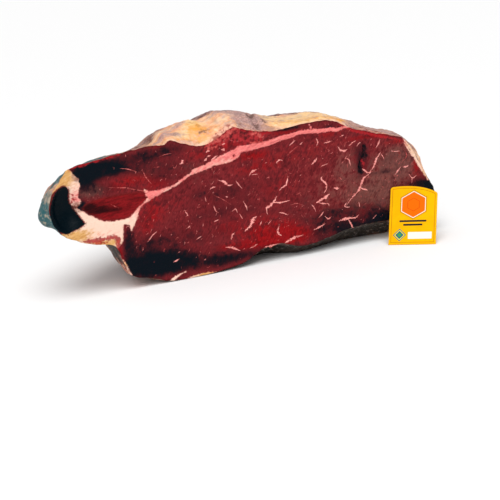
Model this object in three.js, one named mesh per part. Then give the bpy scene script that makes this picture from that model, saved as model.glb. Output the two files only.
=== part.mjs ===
import * as THREE from 'three';

// A piece of air-cured beef, cut open along its length, and the small card that stands against it.
// Millimetres, +Z up. X runs along the cut face, which is upright and looks towards -Y.
// The origin is on the flat underside, under the middle of the piece.

// Cut face
const FACE_Y = -50;
// Its rim over the top, from the left tip to the right tip, as x and z.
const RIM_TOP = [
  [-183, 76], [-180, 88], [-173, 98], [-164, 108], [-145, 111], [-124, 114], [-94, 117], [-82, 116],
  [-77, 119], [-66, 115], [-50, 111], [-38, 113], [-20, 122], [-8, 119], [9, 115], [30, 115],
  [50, 117], [74, 116], [94, 107], [120, 99], [147, 91], [156, 81], [168, 58], [179, 40],
];
// Its rim along the bottom, from the right tip back to the left tip.
const RIM_BELOW = [
  [183, 28], [176, 20], [150, 17], [115, 18], [88, 17], [64, 12], [42, 9], [18, 15], [2, 14], [-14, 6],
  [-40, 1], [-80, 0], [-104, 7], [-119, 12], [-126, 26], [-131, 39], [-145, 43], [-160, 48],
  [-174, 56], [-181, 66],
];
// Hollows in the cut face: the dark dish in the left lobe, and the sunken muscle beside it.
// They fade in from the rim, this many times as fast as the way inwards.
const HOLLOW_FADE = 3;
const HOLLOW_POWER = 1.5;
const FACE_HOLLOWS = [
  { x: -169, z: 75, halfWidth: 15, halfHeight: 22, depth: 7 },
  { x: -126, z: 72, halfWidth: 32, halfHeight: 14, depth: 2.5 },
];

// Crust, from the rim back. Each table gives a value at some places along X.
const DEPTH = [
  [-190, 34], [-170, 46], [-145, 58], [-110, 84], [-60, 106], [0, 113], [60, 112], [110, 102],
  [150, 84], [190, 54],
];
// How far the crust swells outwards behind the rim, above and below.
const SWELL_TOP = [
  [-183, 6], [-177, 1], [-166, -4], [-140, -1], [-85, -4], [-68, 10], [-48, 14], [-28, 11], [8, 17],
  [38, 4], [100, 8], [140, 2], [162, 15], [183, 6],
];
const SWELL_BELOW = [
  [-183, 8], [-177, 2], [-160, 2], [-147, 7], [-131, 4], [-118, -5], [-100, 4], [-60, 14],
  [0, 30], [120, 36], [160, 28], [183, 6],
];
// How square the crust's sections are: 2 is round, and more is squarer.
const SQUARENESS_TOP = [[-190, 2.1], [-120, 2.1], [-40, 2.6], [120, 2.6], [155, 3.2], [190, 2.8]];
const SQUARENESS_BELOW = [[-190, 2.2], [-150, 2.9], [190, 2.8]];
// Where the swell peaks between the rim and the back: a lower power brings it nearer to the rim.
const SWELL_POWER_TOP = 0.5;
const SWELL_POWER_BELOW = 0.72;
// The rim's small bumps fade between these parts of the section, averaged over so many steps each way.
const CALM_FROM = 0.12;
const CALM_TO = 0.6;
const CALM_STEPS = 4;
// Muscles that stand out on the back.
const LUMPS = [
  { at: [-85, 45, 60], reach: [42, 35, 34], height: 7 },
  { at: [10, 60, 45], reach: [50, 30, 26], height: 6 },
  { at: [105, 45, 55], reach: [34, 35, 34], height: 6 },
  { at: [40, 40, 110], reach: [60, 30, 30], height: 4 },
  { at: [-140, 5, 85], reach: [20, 20, 20], height: 3 },
];
// Creases between them, as seen from behind: from and to as x and z.
const CREASES = [
  { from: [-70, 20], to: [-15, 120], halfWidth: 8, depth: 5 },
  { from: [-15, 84], to: [112, 96], halfWidth: 9, depth: 5 },
  { from: [70, 20], to: [52, 90], halfWidth: 8, depth: 4 },
];
// Creases start this far behind the cut face and have their full depth from there on.
const CREASE_START = 30;
const CREASE_FULL = 70;
const RELIEF_FADE = 14;
// The relief is pushed out from a middle this share of the way back.
const MIDDLE_SHARE = 0.45;
// How gently the underside runs into its flat.
const FLOOR_BLEND = 3;

// The line inside the face that all rings shrink towards ends this far short of each tip.
const SPINE_START = 0.085;
const SPINE_END = 0.91;

// Mesh steps
const HALF_STEPS = 92;
const FACE_RINGS = 10;
const CRUST_RINGS = 18;
const CURVE_STEPS = 24;

// Card
const CARD_WIDTH = 42;
const CARD_HEIGHT = 53;
const CARD_THICK = 0.8;
const CARD_CORNER = 2;
// Its top is cut askew: moved to the right, arched, and lower at its right end.
const CARD_SKEW = 2.5;
const CARD_RISE = 2.6;
const CARD_DROP = 5;
const CARD_ARCH_AT = 0.6;
const CARD_FOOT = [117, -18];
const CARD_TURN = -36;
const CARD_GAP = 0.35;
const CARD_CURVE_STEPS = 10;

const meatFinish = new THREE.MeshStandardMaterial({ color: 0x6e1d20, roughness: 0.45, metalness: 0 });
const cardFinish = new THREE.MeshStandardMaterial({ color: 0xe8ae1c, roughness: 0.5, metalness: 0 });

// A smooth value between the places of a table: cubic pieces that share their slopes.
function readTable(table, x) {
  const last = table.length - 1;
  const place = Math.min(Math.max(x, table[0][0]), table[last][0]);
  let i = 0;
  while (i < last - 1 && place > table[i + 1][0]) i += 1;
  const slope = (k) => {
    const before = table[Math.max(k - 1, 0)];
    const after = table[Math.min(k + 1, last)];
    return (after[1] - before[1]) / (after[0] - before[0]);
  };
  const [[x0, v0], [x1, v1]] = [table[i], table[i + 1]];
  const span = x1 - x0;
  const t = (place - x0) / span;
  const rise = 3 * t ** 2 - 2 * t ** 3;
  const leave = t ** 3 - 2 * t ** 2 + t;
  const arrive = t ** 3 - t ** 2;
  return v0 * (1 - rise) + v1 * rise + span * (leave * slope(i) + arrive * slope(i + 1));
}

// count + 1 points at equal distances along an open line of points.
function spacedEvenly(line, count) {
  const reach = [0];
  for (let i = 1; i < line.length; i += 1) {
    reach.push(reach[i - 1] + line[i].distanceTo(line[i - 1]));
  }
  const points = [];
  let i = 1;
  for (let k = 0; k <= count; k += 1) {
    const want = (reach[line.length - 1] * k) / count;
    while (i < line.length - 1 && reach[i] < want) i += 1;
    const part = (want - reach[i - 1]) / (reach[i] - reach[i - 1]);
    points.push(line[i - 1].clone().lerp(line[i], part));
  }
  return points;
}

// The rim's two halves, each from the left tip to the right tip.
function rimHalves() {
  const knots = [...RIM_TOP, ...RIM_BELOW].map(([x, z]) => new THREE.Vector3(x, 0, z));
  const curve = new THREE.CatmullRomCurve3(knots, true, 'centripetal');
  const total = knots.length * CURVE_STEPS;
  const turn = RIM_TOP.length * CURVE_STEPS;
  const line = [];
  for (let i = 0; i <= total; i += 1) line.push(curve.getPoint(i / total));
  const top = spacedEvenly(line.slice(0, turn + 1), HALF_STEPS);
  const below = spacedEvenly(line.slice(turn), HALF_STEPS).reverse();
  return { top, below };
}

// The point at a share of the way along one half of the rim.
function alongHalf(half, share) {
  const place = share * HALF_STEPS;
  const i = Math.min(Math.floor(place), HALF_STEPS - 1);
  return half[i].clone().lerp(half[i + 1], place - i);
}

// Vectors round a ring, each replaced by the mean of its neighbours.
function calmed(ring) {
  const count = ring.length;
  return ring.map((_, i) => {
    const sum = new THREE.Vector3();
    for (let k = -CALM_STEPS; k <= CALM_STEPS; k += 1) sum.add(ring[(i + k + count) % count]);
    return sum.divideScalar(2 * CALM_STEPS + 1);
  });
}

// What shapes the crust's section at each rim point: swell, squareness and the swell's power.
function sectionShapes(ring) {
  const shapes = ring.map(({ x }, i) => (i <= HALF_STEPS
    ? new THREE.Vector3(readTable(SWELL_TOP, x), readTable(SQUARENESS_TOP, x), SWELL_POWER_TOP)
    : new THREE.Vector3(readTable(SWELL_BELOW, x), readTable(SQUARENESS_BELOW, x), SWELL_POWER_BELOW)));
  return calmed(shapes);
}

// The rim as one ring, and the spine: midway between the halves, and drawn in from both tips.
function rimAndSpine() {
  const { top, below } = rimHalves();
  const ring = [...top, ...below.slice(1, -1).reverse()];
  const spine = [];
  for (let i = 0; i <= HALF_STEPS; i += 1) {
    const share = SPINE_START + ((SPINE_END - SPINE_START) * i) / HALF_STEPS;
    spine.push(alongHalf(top, share).add(alongHalf(below, share)).multiplyScalar(0.5));
  }
  return { ring, spine };
}

// How deep the cut face is sunk at a place.
function faceHollow(x, z) {
  let depth = 0;
  for (const hollow of FACE_HOLLOWS) {
    const across = (x - hollow.x) / hollow.halfWidth;
    const up = (z - hollow.z) / hollow.halfHeight;
    const inside = Math.max(0, 1 - across ** 2 - up ** 2);
    depth += hollow.depth * inside ** HOLLOW_POWER;
  }
  return depth;
}

// The cut face: rings that shrink from the rim to the spine.
function facePoint(rim, core, part) {
  const point = rim.clone().lerp(core, part);
  const edge = Math.min(1, HOLLOW_FADE * part);
  point.y = FACE_Y + edge * faceHollow(point.x, point.z);
  return point;
}

// How far the muscles and creases of the back move a point that lies there.
function backRelief(point) {
  let height = 0;
  for (const { at, reach, height: rise } of LUMPS) {
    const offset = point.clone().sub(new THREE.Vector3(...at)).divide(new THREE.Vector3(...reach));
    height += rise * Math.exp(-offset.lengthSq());
  }
  const behind = THREE.MathUtils.smoothstep(point.y, FACE_Y + CREASE_START, FACE_Y + CREASE_FULL);
  for (const { from, to, halfWidth, depth } of CREASES) {
    const [alongX, alongZ] = [to[0] - from[0], to[1] - from[1]];
    const [fromX, fromZ] = [point.x - from[0], point.z - from[1]];
    const share = (fromX * alongX + fromZ * alongZ) / (alongX ** 2 + alongZ ** 2);
    const nearest = THREE.MathUtils.clamp(share, 0, 1);
    const away = Math.hypot(fromX - nearest * alongX, fromZ - nearest * alongZ) / halfWidth;
    height -= behind * depth * Math.exp(-(away ** 2));
  }
  return height;
}

// The crust: each section is a quarter of a squarish oval from the rim to the back of the spine,
// swollen behind the rim, with the relief of the back pushed out from the middle of the piece.
function crustPoint(rimPoint, calmPoint, shape, core, part) {
  const rim = rimPoint.clone().lerp(calmPoint, THREE.MathUtils.smoothstep(part, CALM_FROM, CALM_TO));
  const outward = rim.clone().sub(core);
  const reach = outward.length();
  outward.normalize();
  const [swell, squareness, power] = shape.toArray();
  const angle = (part * Math.PI) / 2;
  const shrink = part < 1 ? Math.cos(angle) ** (2 / squareness) : 0;
  const radius = reach * shrink + swell * Math.sin(Math.PI * part ** power);
  const point = core.clone().addScaledVector(outward, radius);
  const depth = readTable(DEPTH, point.x);
  const back = depth * Math.sin(angle) ** (2 / squareness);
  point.y = FACE_Y + back;

  const middle = new THREE.Vector3(core.x, FACE_Y + MIDDLE_SHARE * depth, core.z);
  const push = point.clone().sub(middle).normalize();
  const fade = THREE.MathUtils.smoothstep(back, 0, RELIEF_FADE);
  return point.addScaledVector(push, fade * backRelief(point));
}

// Flattens what would sink below the floor, with a soft start just above it.
function settle(point) {
  const { z } = point;
  if (z <= -FLOOR_BLEND) point.z = 0;
  else if (z < FLOOR_BLEND) point.z = (z + FLOOR_BLEND) ** 2 / (4 * FLOOR_BLEND);
  return point;
}

// The whole piece: face rings and crust rings share the rim, and each set closes on a row of points
// that its top and bottom halves share.
function meatGeometry() {
  const { ring, spine } = rimAndSpine();
  const calm = calmed(ring);
  const shapes = sectionShapes(ring);
  const count = ring.length;
  const coreIndex = (i) => (i <= HALF_STEPS ? i : count - i);
  const positions = [];
  const add = (point) => {
    settle(point);
    positions.push(point.x, point.y, point.z);
    return positions.length / 3 - 1;
  };
  const ringOf = (make) => ring.map((rim, i) => add(make(rim, spine[coreIndex(i)], i)));
  const rowOf = (make) => spine.map((core, i) => add(make(core, i)));
  const closed = (row) => ring.map((rim, i) => row[coreIndex(i)]);

  const faces = [];
  for (let k = 0; k < FACE_RINGS; k += 1) {
    faces.push(ringOf((rim, core) => facePoint(rim, core, k / FACE_RINGS)));
  }
  faces.push(closed(rowOf((core) => facePoint(core, core, 1))));

  const crusts = [faces[0]];
  for (let k = 1; k < CRUST_RINGS; k += 1) {
    const part = k / CRUST_RINGS;
    crusts.push(ringOf((rim, core, i) => crustPoint(rim, calm[i], shapes[i], core, part)));
  }
  const backs = rowOf((core, i) => crustPoint(ring[i], calm[i], shapes[i], core, 1));
  crusts.push(closed(backs));

  const triangles = [];
  const strip = (outer, inner, flip) => {
    for (let i = 0; i < count; i += 1) {
      const j = (i + 1) % count;
      const pairs = [[outer[i], outer[j], inner[j]], [outer[i], inner[j], inner[i]]];
      for (const [a, b, c] of pairs) {
        if (a === b || b === c || a === c) continue;
        triangles.push(...(flip ? [a, c, b] : [a, b, c]));
      }
    }
  };
  for (let k = 0; k < FACE_RINGS; k += 1) strip(faces[k], faces[k + 1], true);
  for (let k = 0; k < CRUST_RINGS; k += 1) strip(crusts[k], crusts[k + 1], false);

  const geometry = new THREE.BufferGeometry();
  geometry.setAttribute('position', new THREE.Float32BufferAttribute(positions, 3));
  geometry.setIndex(triangles);
  geometry.computeVertexNormals();
  return geometry;
}

// The card's outline: square at the foot, round at its two top corners, with an arched top edge.
function cardGeometry() {
  const left = CARD_SKEW;
  const right = CARD_WIDTH + CARD_SKEW;
  const rightTop = CARD_HEIGHT - CARD_DROP;
  const outline = new THREE.Shape();
  outline.moveTo(0, 0);
  outline.lineTo(CARD_WIDTH, 0);
  outline.lineTo(right, rightTop - CARD_CORNER);
  outline.quadraticCurveTo(right, rightTop, right - CARD_CORNER, rightTop);
  const arch = left + CARD_ARCH_AT * CARD_WIDTH;
  outline.quadraticCurveTo(arch, CARD_HEIGHT + CARD_RISE, left + CARD_CORNER, CARD_HEIGHT);
  outline.quadraticCurveTo(left, CARD_HEIGHT, left, CARD_HEIGHT - CARD_CORNER);
  outline.closePath();
  const steps = { depth: CARD_THICK, bevelEnabled: false, curveSegments: CARD_CURVE_STEPS };
  const geometry = new THREE.ExtrudeGeometry(outline, steps);
  geometry.translate(0, 0, -CARD_THICK);
  return geometry;
}

const piece = new THREE.Group();

const meat = new THREE.Mesh(meatGeometry(), meatFinish);
meat.name = 'cecina';
piece.add(meat);

// The card leans back until its upper left corner all but touches the cut face.
const turn = THREE.MathUtils.degToRad(CARD_TURN);
const room = -CARD_FOOT[1] - CARD_GAP - CARD_SKEW * Math.sin(turn);
const lean = Math.asin((room / Math.cos(turn) - CARD_THICK) / (CARD_HEIGHT - CARD_CORNER));
const stand = new THREE.Group();
stand.position.set(CARD_FOOT[0], FACE_Y + CARD_FOOT[1], CARD_THICK * Math.sin(lean));
stand.rotation.z = turn;
const card = new THREE.Mesh(cardGeometry(), cardFinish);
card.name = 'tag';
card.rotation.x = Math.PI / 2 - lean;
stand.add(card);
piece.add(stand);

export default piece;
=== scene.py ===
"""A piece of air-cured beef with its fat, marbling and crust, and the small card that leans on it."""
import math
from functools import partial, reduce
from itertools import product

import bpy
import numpy as np
from bpy.props import FloatProperty, FloatVectorProperty, IntProperty, PointerProperty
from mathutils import Matrix


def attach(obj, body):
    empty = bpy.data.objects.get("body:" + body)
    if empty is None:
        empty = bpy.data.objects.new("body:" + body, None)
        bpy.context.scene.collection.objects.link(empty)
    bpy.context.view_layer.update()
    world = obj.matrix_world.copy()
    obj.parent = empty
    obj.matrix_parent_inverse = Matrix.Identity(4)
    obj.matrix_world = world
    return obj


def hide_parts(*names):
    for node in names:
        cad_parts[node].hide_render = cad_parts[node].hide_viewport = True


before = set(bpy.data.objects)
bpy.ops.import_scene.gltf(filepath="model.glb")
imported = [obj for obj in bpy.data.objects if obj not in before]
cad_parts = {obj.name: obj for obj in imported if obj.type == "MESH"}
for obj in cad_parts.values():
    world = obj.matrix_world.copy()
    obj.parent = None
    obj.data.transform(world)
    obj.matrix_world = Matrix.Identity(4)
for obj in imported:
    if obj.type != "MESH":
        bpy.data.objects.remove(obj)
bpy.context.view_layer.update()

bl_info = {
    "name": "Cured beef piece",
    "version": (1, 0, 0),
    "blender": (4, 5, 0),
    "location": "View3D > Sidebar > Cured beef",
    "description": "Makes a piece of air-cured beef, its marbling, its card and a plain stage",
    "category": "Add Mesh",
}

MM = 0.001

# View: the picture is square, and its points are counted from the top left corner.
PICTURE_SIDE = 500
VIEW_AZIMUTH = -25
VIEW_ELEVATION = 15
VIEW_ROLL = 4
VIEW_LENS = 85
VIEW_SENSOR = 36
VIEW_DISTANCE = 1015.28
VIEW_TARGET = (-11.1, -50.0, 14.7)
# How far the camera sees, in metres.
VIEW_END = 60
# How many millimetres of the cut face one step in the picture covers.
FACE_STEP = 0.9

# Cut face, in millimetres
FACE_Y = -50
RIM_TOP = [
    (-183, 76), (-180, 88), (-173, 98), (-164, 108), (-145, 111), (-124, 114), (-94, 117), (-82, 116),
    (-77, 119), (-66, 115), (-50, 111), (-38, 113), (-20, 122), (-8, 119), (9, 115), (30, 115), (50, 117),
    (74, 116), (94, 107), (120, 99), (147, 91), (156, 81), (168, 58), (179, 40),
]
RIM_BELOW = [
    (183, 28), (176, 20), (150, 17), (115, 18), (88, 17), (64, 12), (42, 9), (18, 15), (2, 14), (-14, 6),
    (-40, 1), (-80, 0), (-104, 7), (-119, 12), (-126, 26), (-131, 39), (-145, 43), (-160, 48), (-174, 56),
    (-181, 66),
]
# Steps from knot to knot of a smooth line: the rim's own, and those of the rim and of an area where
# only the distance to them counts.
CURVE_STEPS = 24
RIM_STEPS = 6
AREA_STEPS = 3
# Hollows: centre x and z, half width, half height and depth. They fade out towards the rim.
FACE_HOLLOWS = [(-169, 75, 15, 22, 7), (-126, 72, 32, 14, 2.5)]
HOLLOW_POWER = 1.5
# The hollows and waves of the face fade in over this distance from the rim.
RIM_FADE = 6
# The face's soft waves: size, height as a share of the ripple, and seed.
FACE_WAVES = [(19, 1, 3), (8, 0.5, 4), (3.6, 0.25, 5)]
# The gash's depth and the fat's rise, each from where it starts to where it is full, counted
# inwards from its border.
GASH_DEPTH = 2.2
GASH_SIDES = (-1.2, 2)
FAT_RISE = 0.4
FAT_SIDES = (-0.5, 1.5)
# The rim's own small waves: size, height and seed.
RIM_WAVES = [(5.5, 0.55, 31), (2.2, 0.35, 31)]
# The line that the rings shrink to runs between these shares of the rim's halves.
SPINE_START = 0.085
SPINE_END = 0.91

# Crust: tables along x, in millimetres but for the last two. They hold how deep it is behind the
# face, how far it swells out over and below the rim, and how square its section is there.
DEPTH = [
    (-190, 34), (-170, 46), (-145, 58), (-110, 84), (-60, 106), (0, 113), (60, 112), (110, 102),
    (150, 84), (190, 54),
]
SWELL_TOP = [
    (-183, 6), (-177, 1), (-166, -4), (-140, -1), (-85, -4), (-68, 10), (-48, 14), (-28, 11), (8, 17),
    (38, 4), (100, 8), (140, 2), (162, 15), (183, 6),
]
SWELL_BELOW = [
    (-183, 8), (-177, 2), (-160, 2), (-147, 7), (-131, 4), (-118, -5), (-100, 4), (-60, 14), (0, 30),
    (120, 36), (160, 28), (183, 6),
]
SQUARENESS_TOP = [(-190, 2.1), (-120, 2.1), (-40, 2.6), (120, 2.6), (155, 3.2), (190, 2.8)]
SQUARENESS_BELOW = [(-190, 2.2), (-150, 2.9), (190, 2.8)]
# The smaller this power is, the nearer the rim the swell is greatest: over the rim and below it.
SWELL_POWER_TOP = 0.5
SWELL_POWER_BELOW = 0.72
# The crust's rings lie closer together near the rim by this power of their share.
RING_POWER = 1.3
# Between these shares they leave the rim's own line for one calmed over this share of it each way.
CALM_FROM = 0.12
CALM_TO = 0.6
CALM_REACH = 0.02
# Relief pushes points away from the middle of the piece, which lies at this share of the depth.
MIDDLE_SHARE = 0.45
# Muscles that stand out on the back: centre, reach and height.
LUMPS = [
    ((-85, 45, 60), (42, 35, 34), 7),
    ((10, 60, 45), (50, 30, 26), 6),
    ((105, 45, 55), (34, 35, 34), 6),
    ((40, 40, 110), (60, 30, 30), 4),
    ((-140, 5, 85), (20, 20, 20), 3),
]
# Creases between them: from and to as x and z, half width and depth.
CREASES = [
    ((-70, 20), (-15, 120), 8, 5),
    ((-15, 84), (112, 96), 9, 5),
    ((70, 20), (52, 90), 8, 4),
]
# Small swellings and dips of the crust behind the rim: centre, reach and height.
CRUST_SWELLINGS = [
    ((-48, -20, 118), (12, 16, 22), 7),
    ((-26, -20, 126), (12, 16, 22), -3.2),
    ((58, -20, 124), (18, 16, 22), -2.8),
    ((-188, -36, 85), (14, 16, 9), -3.2),
    ((-188, -36, 69), (14, 16, 9), 3.5),
    ((-186, -36, 56), (14, 16, 7.5), -4.2),
]
# Distances behind the face over which the creases, the muscles and the fine relief fade in.
CREASE_FADE = (30, 70)
MUSCLE_FADE = (0, 14)
RELIEF_FADE = (0.3, 9)
# The crevice behind the rim: from and to as x and y, half width and depth, the distances behind
# the face and the heights over which it fades in.
CREVICE = ((6, -50), (12, -14), 3.2, 4.5)
CREVICE_FADE = (-1, 6)
CREVICE_HEIGHTS = (95, 110)
# The crust's folds and small lumps: size, height as a share of the setting, and seed. The folds
# are drawn out along x by squeezing the place that their noise is read at.
WRINKLE_STRETCH = (0.45, 1.0, 1.0)
SOFT_FOLDS = [(19, 1, 21), (9, 0.5, 22)]
SHARP_FOLDS = (11, 0.5, 25)
PEBBLES = [(4.6, 1, 23), (2.4, 0.6, 24)]
# Points this close above the floor and below it are laid on it softly.
FLOOR_BLEND = 3
# Lattice noise: how many values it draws, where its lattice starts, the whole numbers that make a
# key to one of the values from each corner, and by how many bits the key is folded.
NOISE_VALUES = 4096
NOISE_SHIFT = 512.3
NOISE_KEYS = (374761393, 668265263, 1274126177)
NOISE_BITS = 13
# Distances into a shape are cut off here. The three after it stand for far from the rim: in the
# middle of the face, on a fleck, and at the back.
DISTANCE_LIMIT = 9.0
FACE_INSET = 30.0
FLECK_INSET = 20.0
BACK_LIP = 90.0

# Shapes on the cut face, as places in the picture
DISH = [
    (64, 187), (69, 190.5), (70, 200), (72.5, 207), (77, 213.5), (82, 220), (85, 224), (80, 228),
    (73, 232), (68, 234.5), (62, 233), (55, 228), (51, 220), (50, 212), (51, 203), (54, 196), (57, 191),
]
OVAL_MUSCLE = [
    (82, 208), (95, 200), (110, 196.5), (130, 193), (144, 192.5), (148, 197), (140, 208), (130, 217),
    (118, 220.5), (105, 220.5), (97, 218), (86, 213),
]
LOWER_FAT = [
    (70, 233), (80, 228), (85, 224), (82, 219), (77, 212), (75, 208.5), (80, 210), (88, 214.5),
    (97, 218.5), (103, 221), (115, 221), (126, 219), (132, 216), (137, 210), (139.5, 208), (138.5, 214),
    (136, 222), (131.5, 231), (130, 226), (124, 225), (123.5, 232), (123, 241), (119, 248), (112, 250),
    (90, 252), (66, 244), (56, 236), (62, 234),
]
WEDGE_FAT = [
    (60, 160), (68, 169.5), (73, 173.5), (78.5, 179.5), (80, 185), (79, 191), (78.5, 196), (81, 201),
    (80.5, 206), (76, 208.5), (73, 206), (71, 200), (70, 192), (67.5, 188), (63, 186), (56, 190),
    (48, 197), (44, 190), (50, 172),
]
JUNCTION_FAT = [
    (143.5, 189), (147, 196), (149.5, 200.5), (153, 198), (160, 194.5), (166, 191), (158, 191),
    (150, 191.5),
]
RIGHT_RIM_FAT = [
    (402, 134), (411, 134), (424, 158), (434, 179), (429, 180.5), (423.5, 174), (416.5, 163), (410, 150),
    (405, 142),
]
FACE_FAT_AREAS = [LOWER_FAT, WEDGE_FAT, JUNCTION_FAT, RIGHT_RIM_FAT]
# Fat that runs in lines: picture places with half widths.
FACE_FAT_LINES = [
    [(148, 194, 2.5), (155, 193, 2.2), (162, 191, 1.7), (170, 188, 1.25), (175, 185.5, 1.1),
     (183, 179.5, 1.1), (190, 174.5, 1.3), (195, 171, 2.4), (200, 169.5, 2.5), (207, 167, 2.5),
     (213, 163, 3), (222, 160, 4.2), (230, 157, 5), (236, 153.5, 4.6), (240, 149.5, 3.5),
     (250, 147.5, 3), (260, 145.5, 2.6), (270, 143, 2.5), (280, 138.5, 2.3), (290, 136, 2.2),
     (300, 132.5, 1.9), (310, 131.5, 2.1), (320, 131, 2), (330, 129.5, 1.9), (337, 130, 1.5),
     (345, 127, 1.2), (352, 126, 0.5)],
    [(311, 131, 1), (311, 127, 0.8), (309, 124.5, 0.3)],
    [(149, 198, 1.6), (146, 202, 1.1), (143, 204.5, 0.8), (140, 207.5, 0.8), (139, 210, 1.2),
     (136, 214, 1.8), (133, 218, 2.4)],
    [(404, 142, 0.5), (408, 148.5, 1), (412.5, 155, 1.1), (416, 160, 0.3)],
    [(186, 280, 0.6), (195, 276.5, 1.5), (205, 274, 1.4), (216, 272, 0.5)],
    [(168, 284, 0.6), (173, 279.5, 1.9), (180, 274.5, 0.7), (187, 271, 0.4)],
    [(122, 261, 1.6), (126, 267.5, 2), (131, 276, 1.4)],
]
# Raw red flesh beside the fat and along the rim.
RAW_LINES = [
    [(70, 168, 0.8), (78, 165.5, 1.5), (86, 163.2, 1.4), (95, 161, 0.8), (120, 154, 0.5)],
    [(340, 124.5, 0.8), (352, 129.5, 1.6), (366, 133, 1.3), (385, 137, 0.8), (400, 140, 0.4)],
    [(205, 147, 0.3), (218, 142, 1.1), (226, 134, 1.3), (235, 128.5, 1.3), (244, 130, 0.8)],
    [(261, 141, 0.4), (262, 134, 1.4), (270, 132, 0.7)],
]
# Salmon-red flesh along the torn edge.
SALMON_LINES = [
    [(204, 147, 0.4), (213, 142.5, 1.5), (220, 139, 2.3), (227, 134.5, 2.8), (233, 129.5, 1.7),
     (239, 128.5, 0.5)],
    [(251, 134.5, 0.4), (256, 133, 1.6), (260, 135.5, 1), (262, 139, 0.6)],
    [(208, 149.5, 0.3), (214, 147, 0.9), (221, 144.5, 0.8)],
    [(252, 143, 0.3), (257, 142.5, 1.1), (263, 143, 0.6)],
]
# Blood-red streaks that cross the fat.
BLOOD_LINES = [
    [(84, 242, 1), (90, 241.5, 2.2), (98, 240.5, 2.4), (107, 238.5, 1.6), (114, 237, 2),
     (118, 239.5, 2.6), (118.5, 244, 2.2), (117.5, 250, 1.2)],
    [(90, 244.5, 0.6), (97, 244, 1.3), (104, 242.5, 0.6)],
    [(112, 248, 1.3), (116, 251.5, 1.8), (120, 258, 1.6), (123, 263, 0.7)],
    [(103, 243.5, 0.5), (107, 242, 0.8)],
    [(73.5, 195, 0.4), (75, 200, 1.1), (73.5, 204, 0.5)],
    [(362.5, 159, 0.5), (363.3, 163, 1.2), (364, 167, 0.6)],
]
SEAM_HOLES = [(234, 155.5, 1.3), (205, 164, 0.7)]
# A cut in the face; its near-black colour is painted shade in the cut.
GASH = [
    (363, 142, 0.8), (364.5, 147, 1.9), (364, 152, 1.5), (365, 156, 2.2), (361.5, 160.5, 2),
    (360, 166, 1.8), (361, 170, 2.4), (362.5, 174.5, 1.1),
]
# Soft patches of colour on the cut face: picture place, reach across and up, and strength.
# Some dark patches are painted shade: the face darkened towards its bottom edge at the lower right, the right
# corner by the card and the patch round the gash. The others give the lean's own plum to blue-black colour.
DARK_PATCHES = [
    (84, 175.5, 13, 7.5, 1.5), (98, 169, 17, 7, 0.95), (112, 169, 12, 5, 0.8), (130, 161, 22, 8, 0.42),
    (155, 154, 18, 6, 0.28), (171, 149, 11, 6, 0.36), (290, 128, 20, 2, 0.3), (150, 264, 22, 10, 1.7),
    (170, 264, 20, 8, 0.95), (184, 258, 18, 9, 0.25), (130, 244, 6, 18, 0.6), (208, 262, 30, 9, 0.42),
    (240, 256, 30, 6, 0.55), (152, 241, 16, 8, 0.42), (185, 236, 24, 12, 0.3), (225, 232, 14, 12, 0.1),
    (284, 129, 10, 3, 0.3), (330, 127, 9, 3, 0.4), (430, 186, 9, 8, 1.3), (416, 184, 12, 5, 0.5),
    (374, 226, 38, 12, 0.52), (372, 209, 12, 9, 0.3), (385, 216, 14, 10, 0.4), (95, 190, 16, 7, 0.4),
    (120, 188, 16, 5, 0.12), (80, 208, 6, 5, 1.6), (74, 199, 5, 9, 0.4), (362, 158, 7, 16, 0.6),
    (388, 171, 18, 2.5, 0.3), (385, 155, 14, 12, 0.15), (335, 214, 30, 8, 0.45), (345, 228, 24, 8, 0.5),
    (300, 205, 26, 10, 0.12), (238, 190, 26, 9, 0.2), (205, 195, 20, 8, 0.24), (190, 170, 14, 8, 0.25),
    (160, 178, 14, 6, 0.2), (168, 168, 12, 8, 0.2), (300, 140, 22, 4, 0.1), (188, 283, 30, 4, 0.4),
    (215, 212, 22, 8, 0.3), (120, 272, 8, 8, 0.4), (90, 214, 5, 4, 0.5), (140, 172, 20, 5, 0.2),
    (250, 206, 20, 8, 0.2), (316, 231, 14, 9, 0.3),
]
VIVID_PATCHES = [
    (298, 235, 20, 8, 1.2), (270, 241, 20, 8, 1.1), (246, 247, 12, 5, 0.6), (152, 212, 12, 16, 0.6),
    (134, 180, 22, 8, 0.6), (116, 187, 18, 7, 0.3), (178, 200, 18, 10, 0.3), (417, 164, 6, 12, 0.7),
    (372, 136, 26, 3, 0.8), (245, 138, 18, 9, 0.8), (196, 155, 14, 7, 0.45), (119, 254, 5, 9, 0.8),
    (262, 222, 20, 10, 0.3), (272, 190, 24, 16, 0.2), (188, 282, 24, 5, 0.5), (325, 228, 12, 5, 0.2),
    (160, 183, 12, 6, 0.4), (146, 228, 8, 10, 0.4), (330, 134, 20, 3, 0.4), (395, 142, 16, 4, 0.6),
    (250, 156, 16, 4, 0.9), (222, 145, 16, 5, 0.6), (284, 132, 16, 3, 0.7), (282, 226, 18, 8, 0.6),
    (252, 232, 18, 7, 0.6), (225, 228, 16, 8, 0.4), (255, 168, 26, 6, 0.4), (290, 180, 30, 14, 0.2),
    (160, 146, 10, 3, 0.5), (405, 152, 8, 8, 0.4), (300, 152, 44, 12, 0.3), (232, 205, 16, 18, 0.2),
    (229, 247, 14, 4, 0.7),
]
BROWN_PATCHES = [
    (398, 160, 28, 18, 1.2), (376, 192, 30, 18, 1), (91, 191, 13, 7, 1.2), (140, 176, 18, 6, 0.4),
    (330, 200, 28, 24, 0.35), (300, 165, 30, 18, 0.15), (398, 205, 16, 12, 0.7), (345, 165, 14, 16, 0.5),
    (190, 170, 14, 8, 0.4),
]
YELLOW_PATCHES = [
    (58, 178, 13, 15, 0.9), (68, 176, 9, 8, 0.5), (52, 194, 8, 8, 1), (64, 238, 24, 7, 1),
    (90, 247, 30, 5, 1), (78, 236, 12, 5, 0.45), (206, 274, 14, 5, 0.9), (124, 264, 5, 6, 0.8),
    (412, 146, 9, 12, 0.55), (426, 168, 8, 14, 0.7), (110, 243, 6, 3, 0.8),
]
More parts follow.
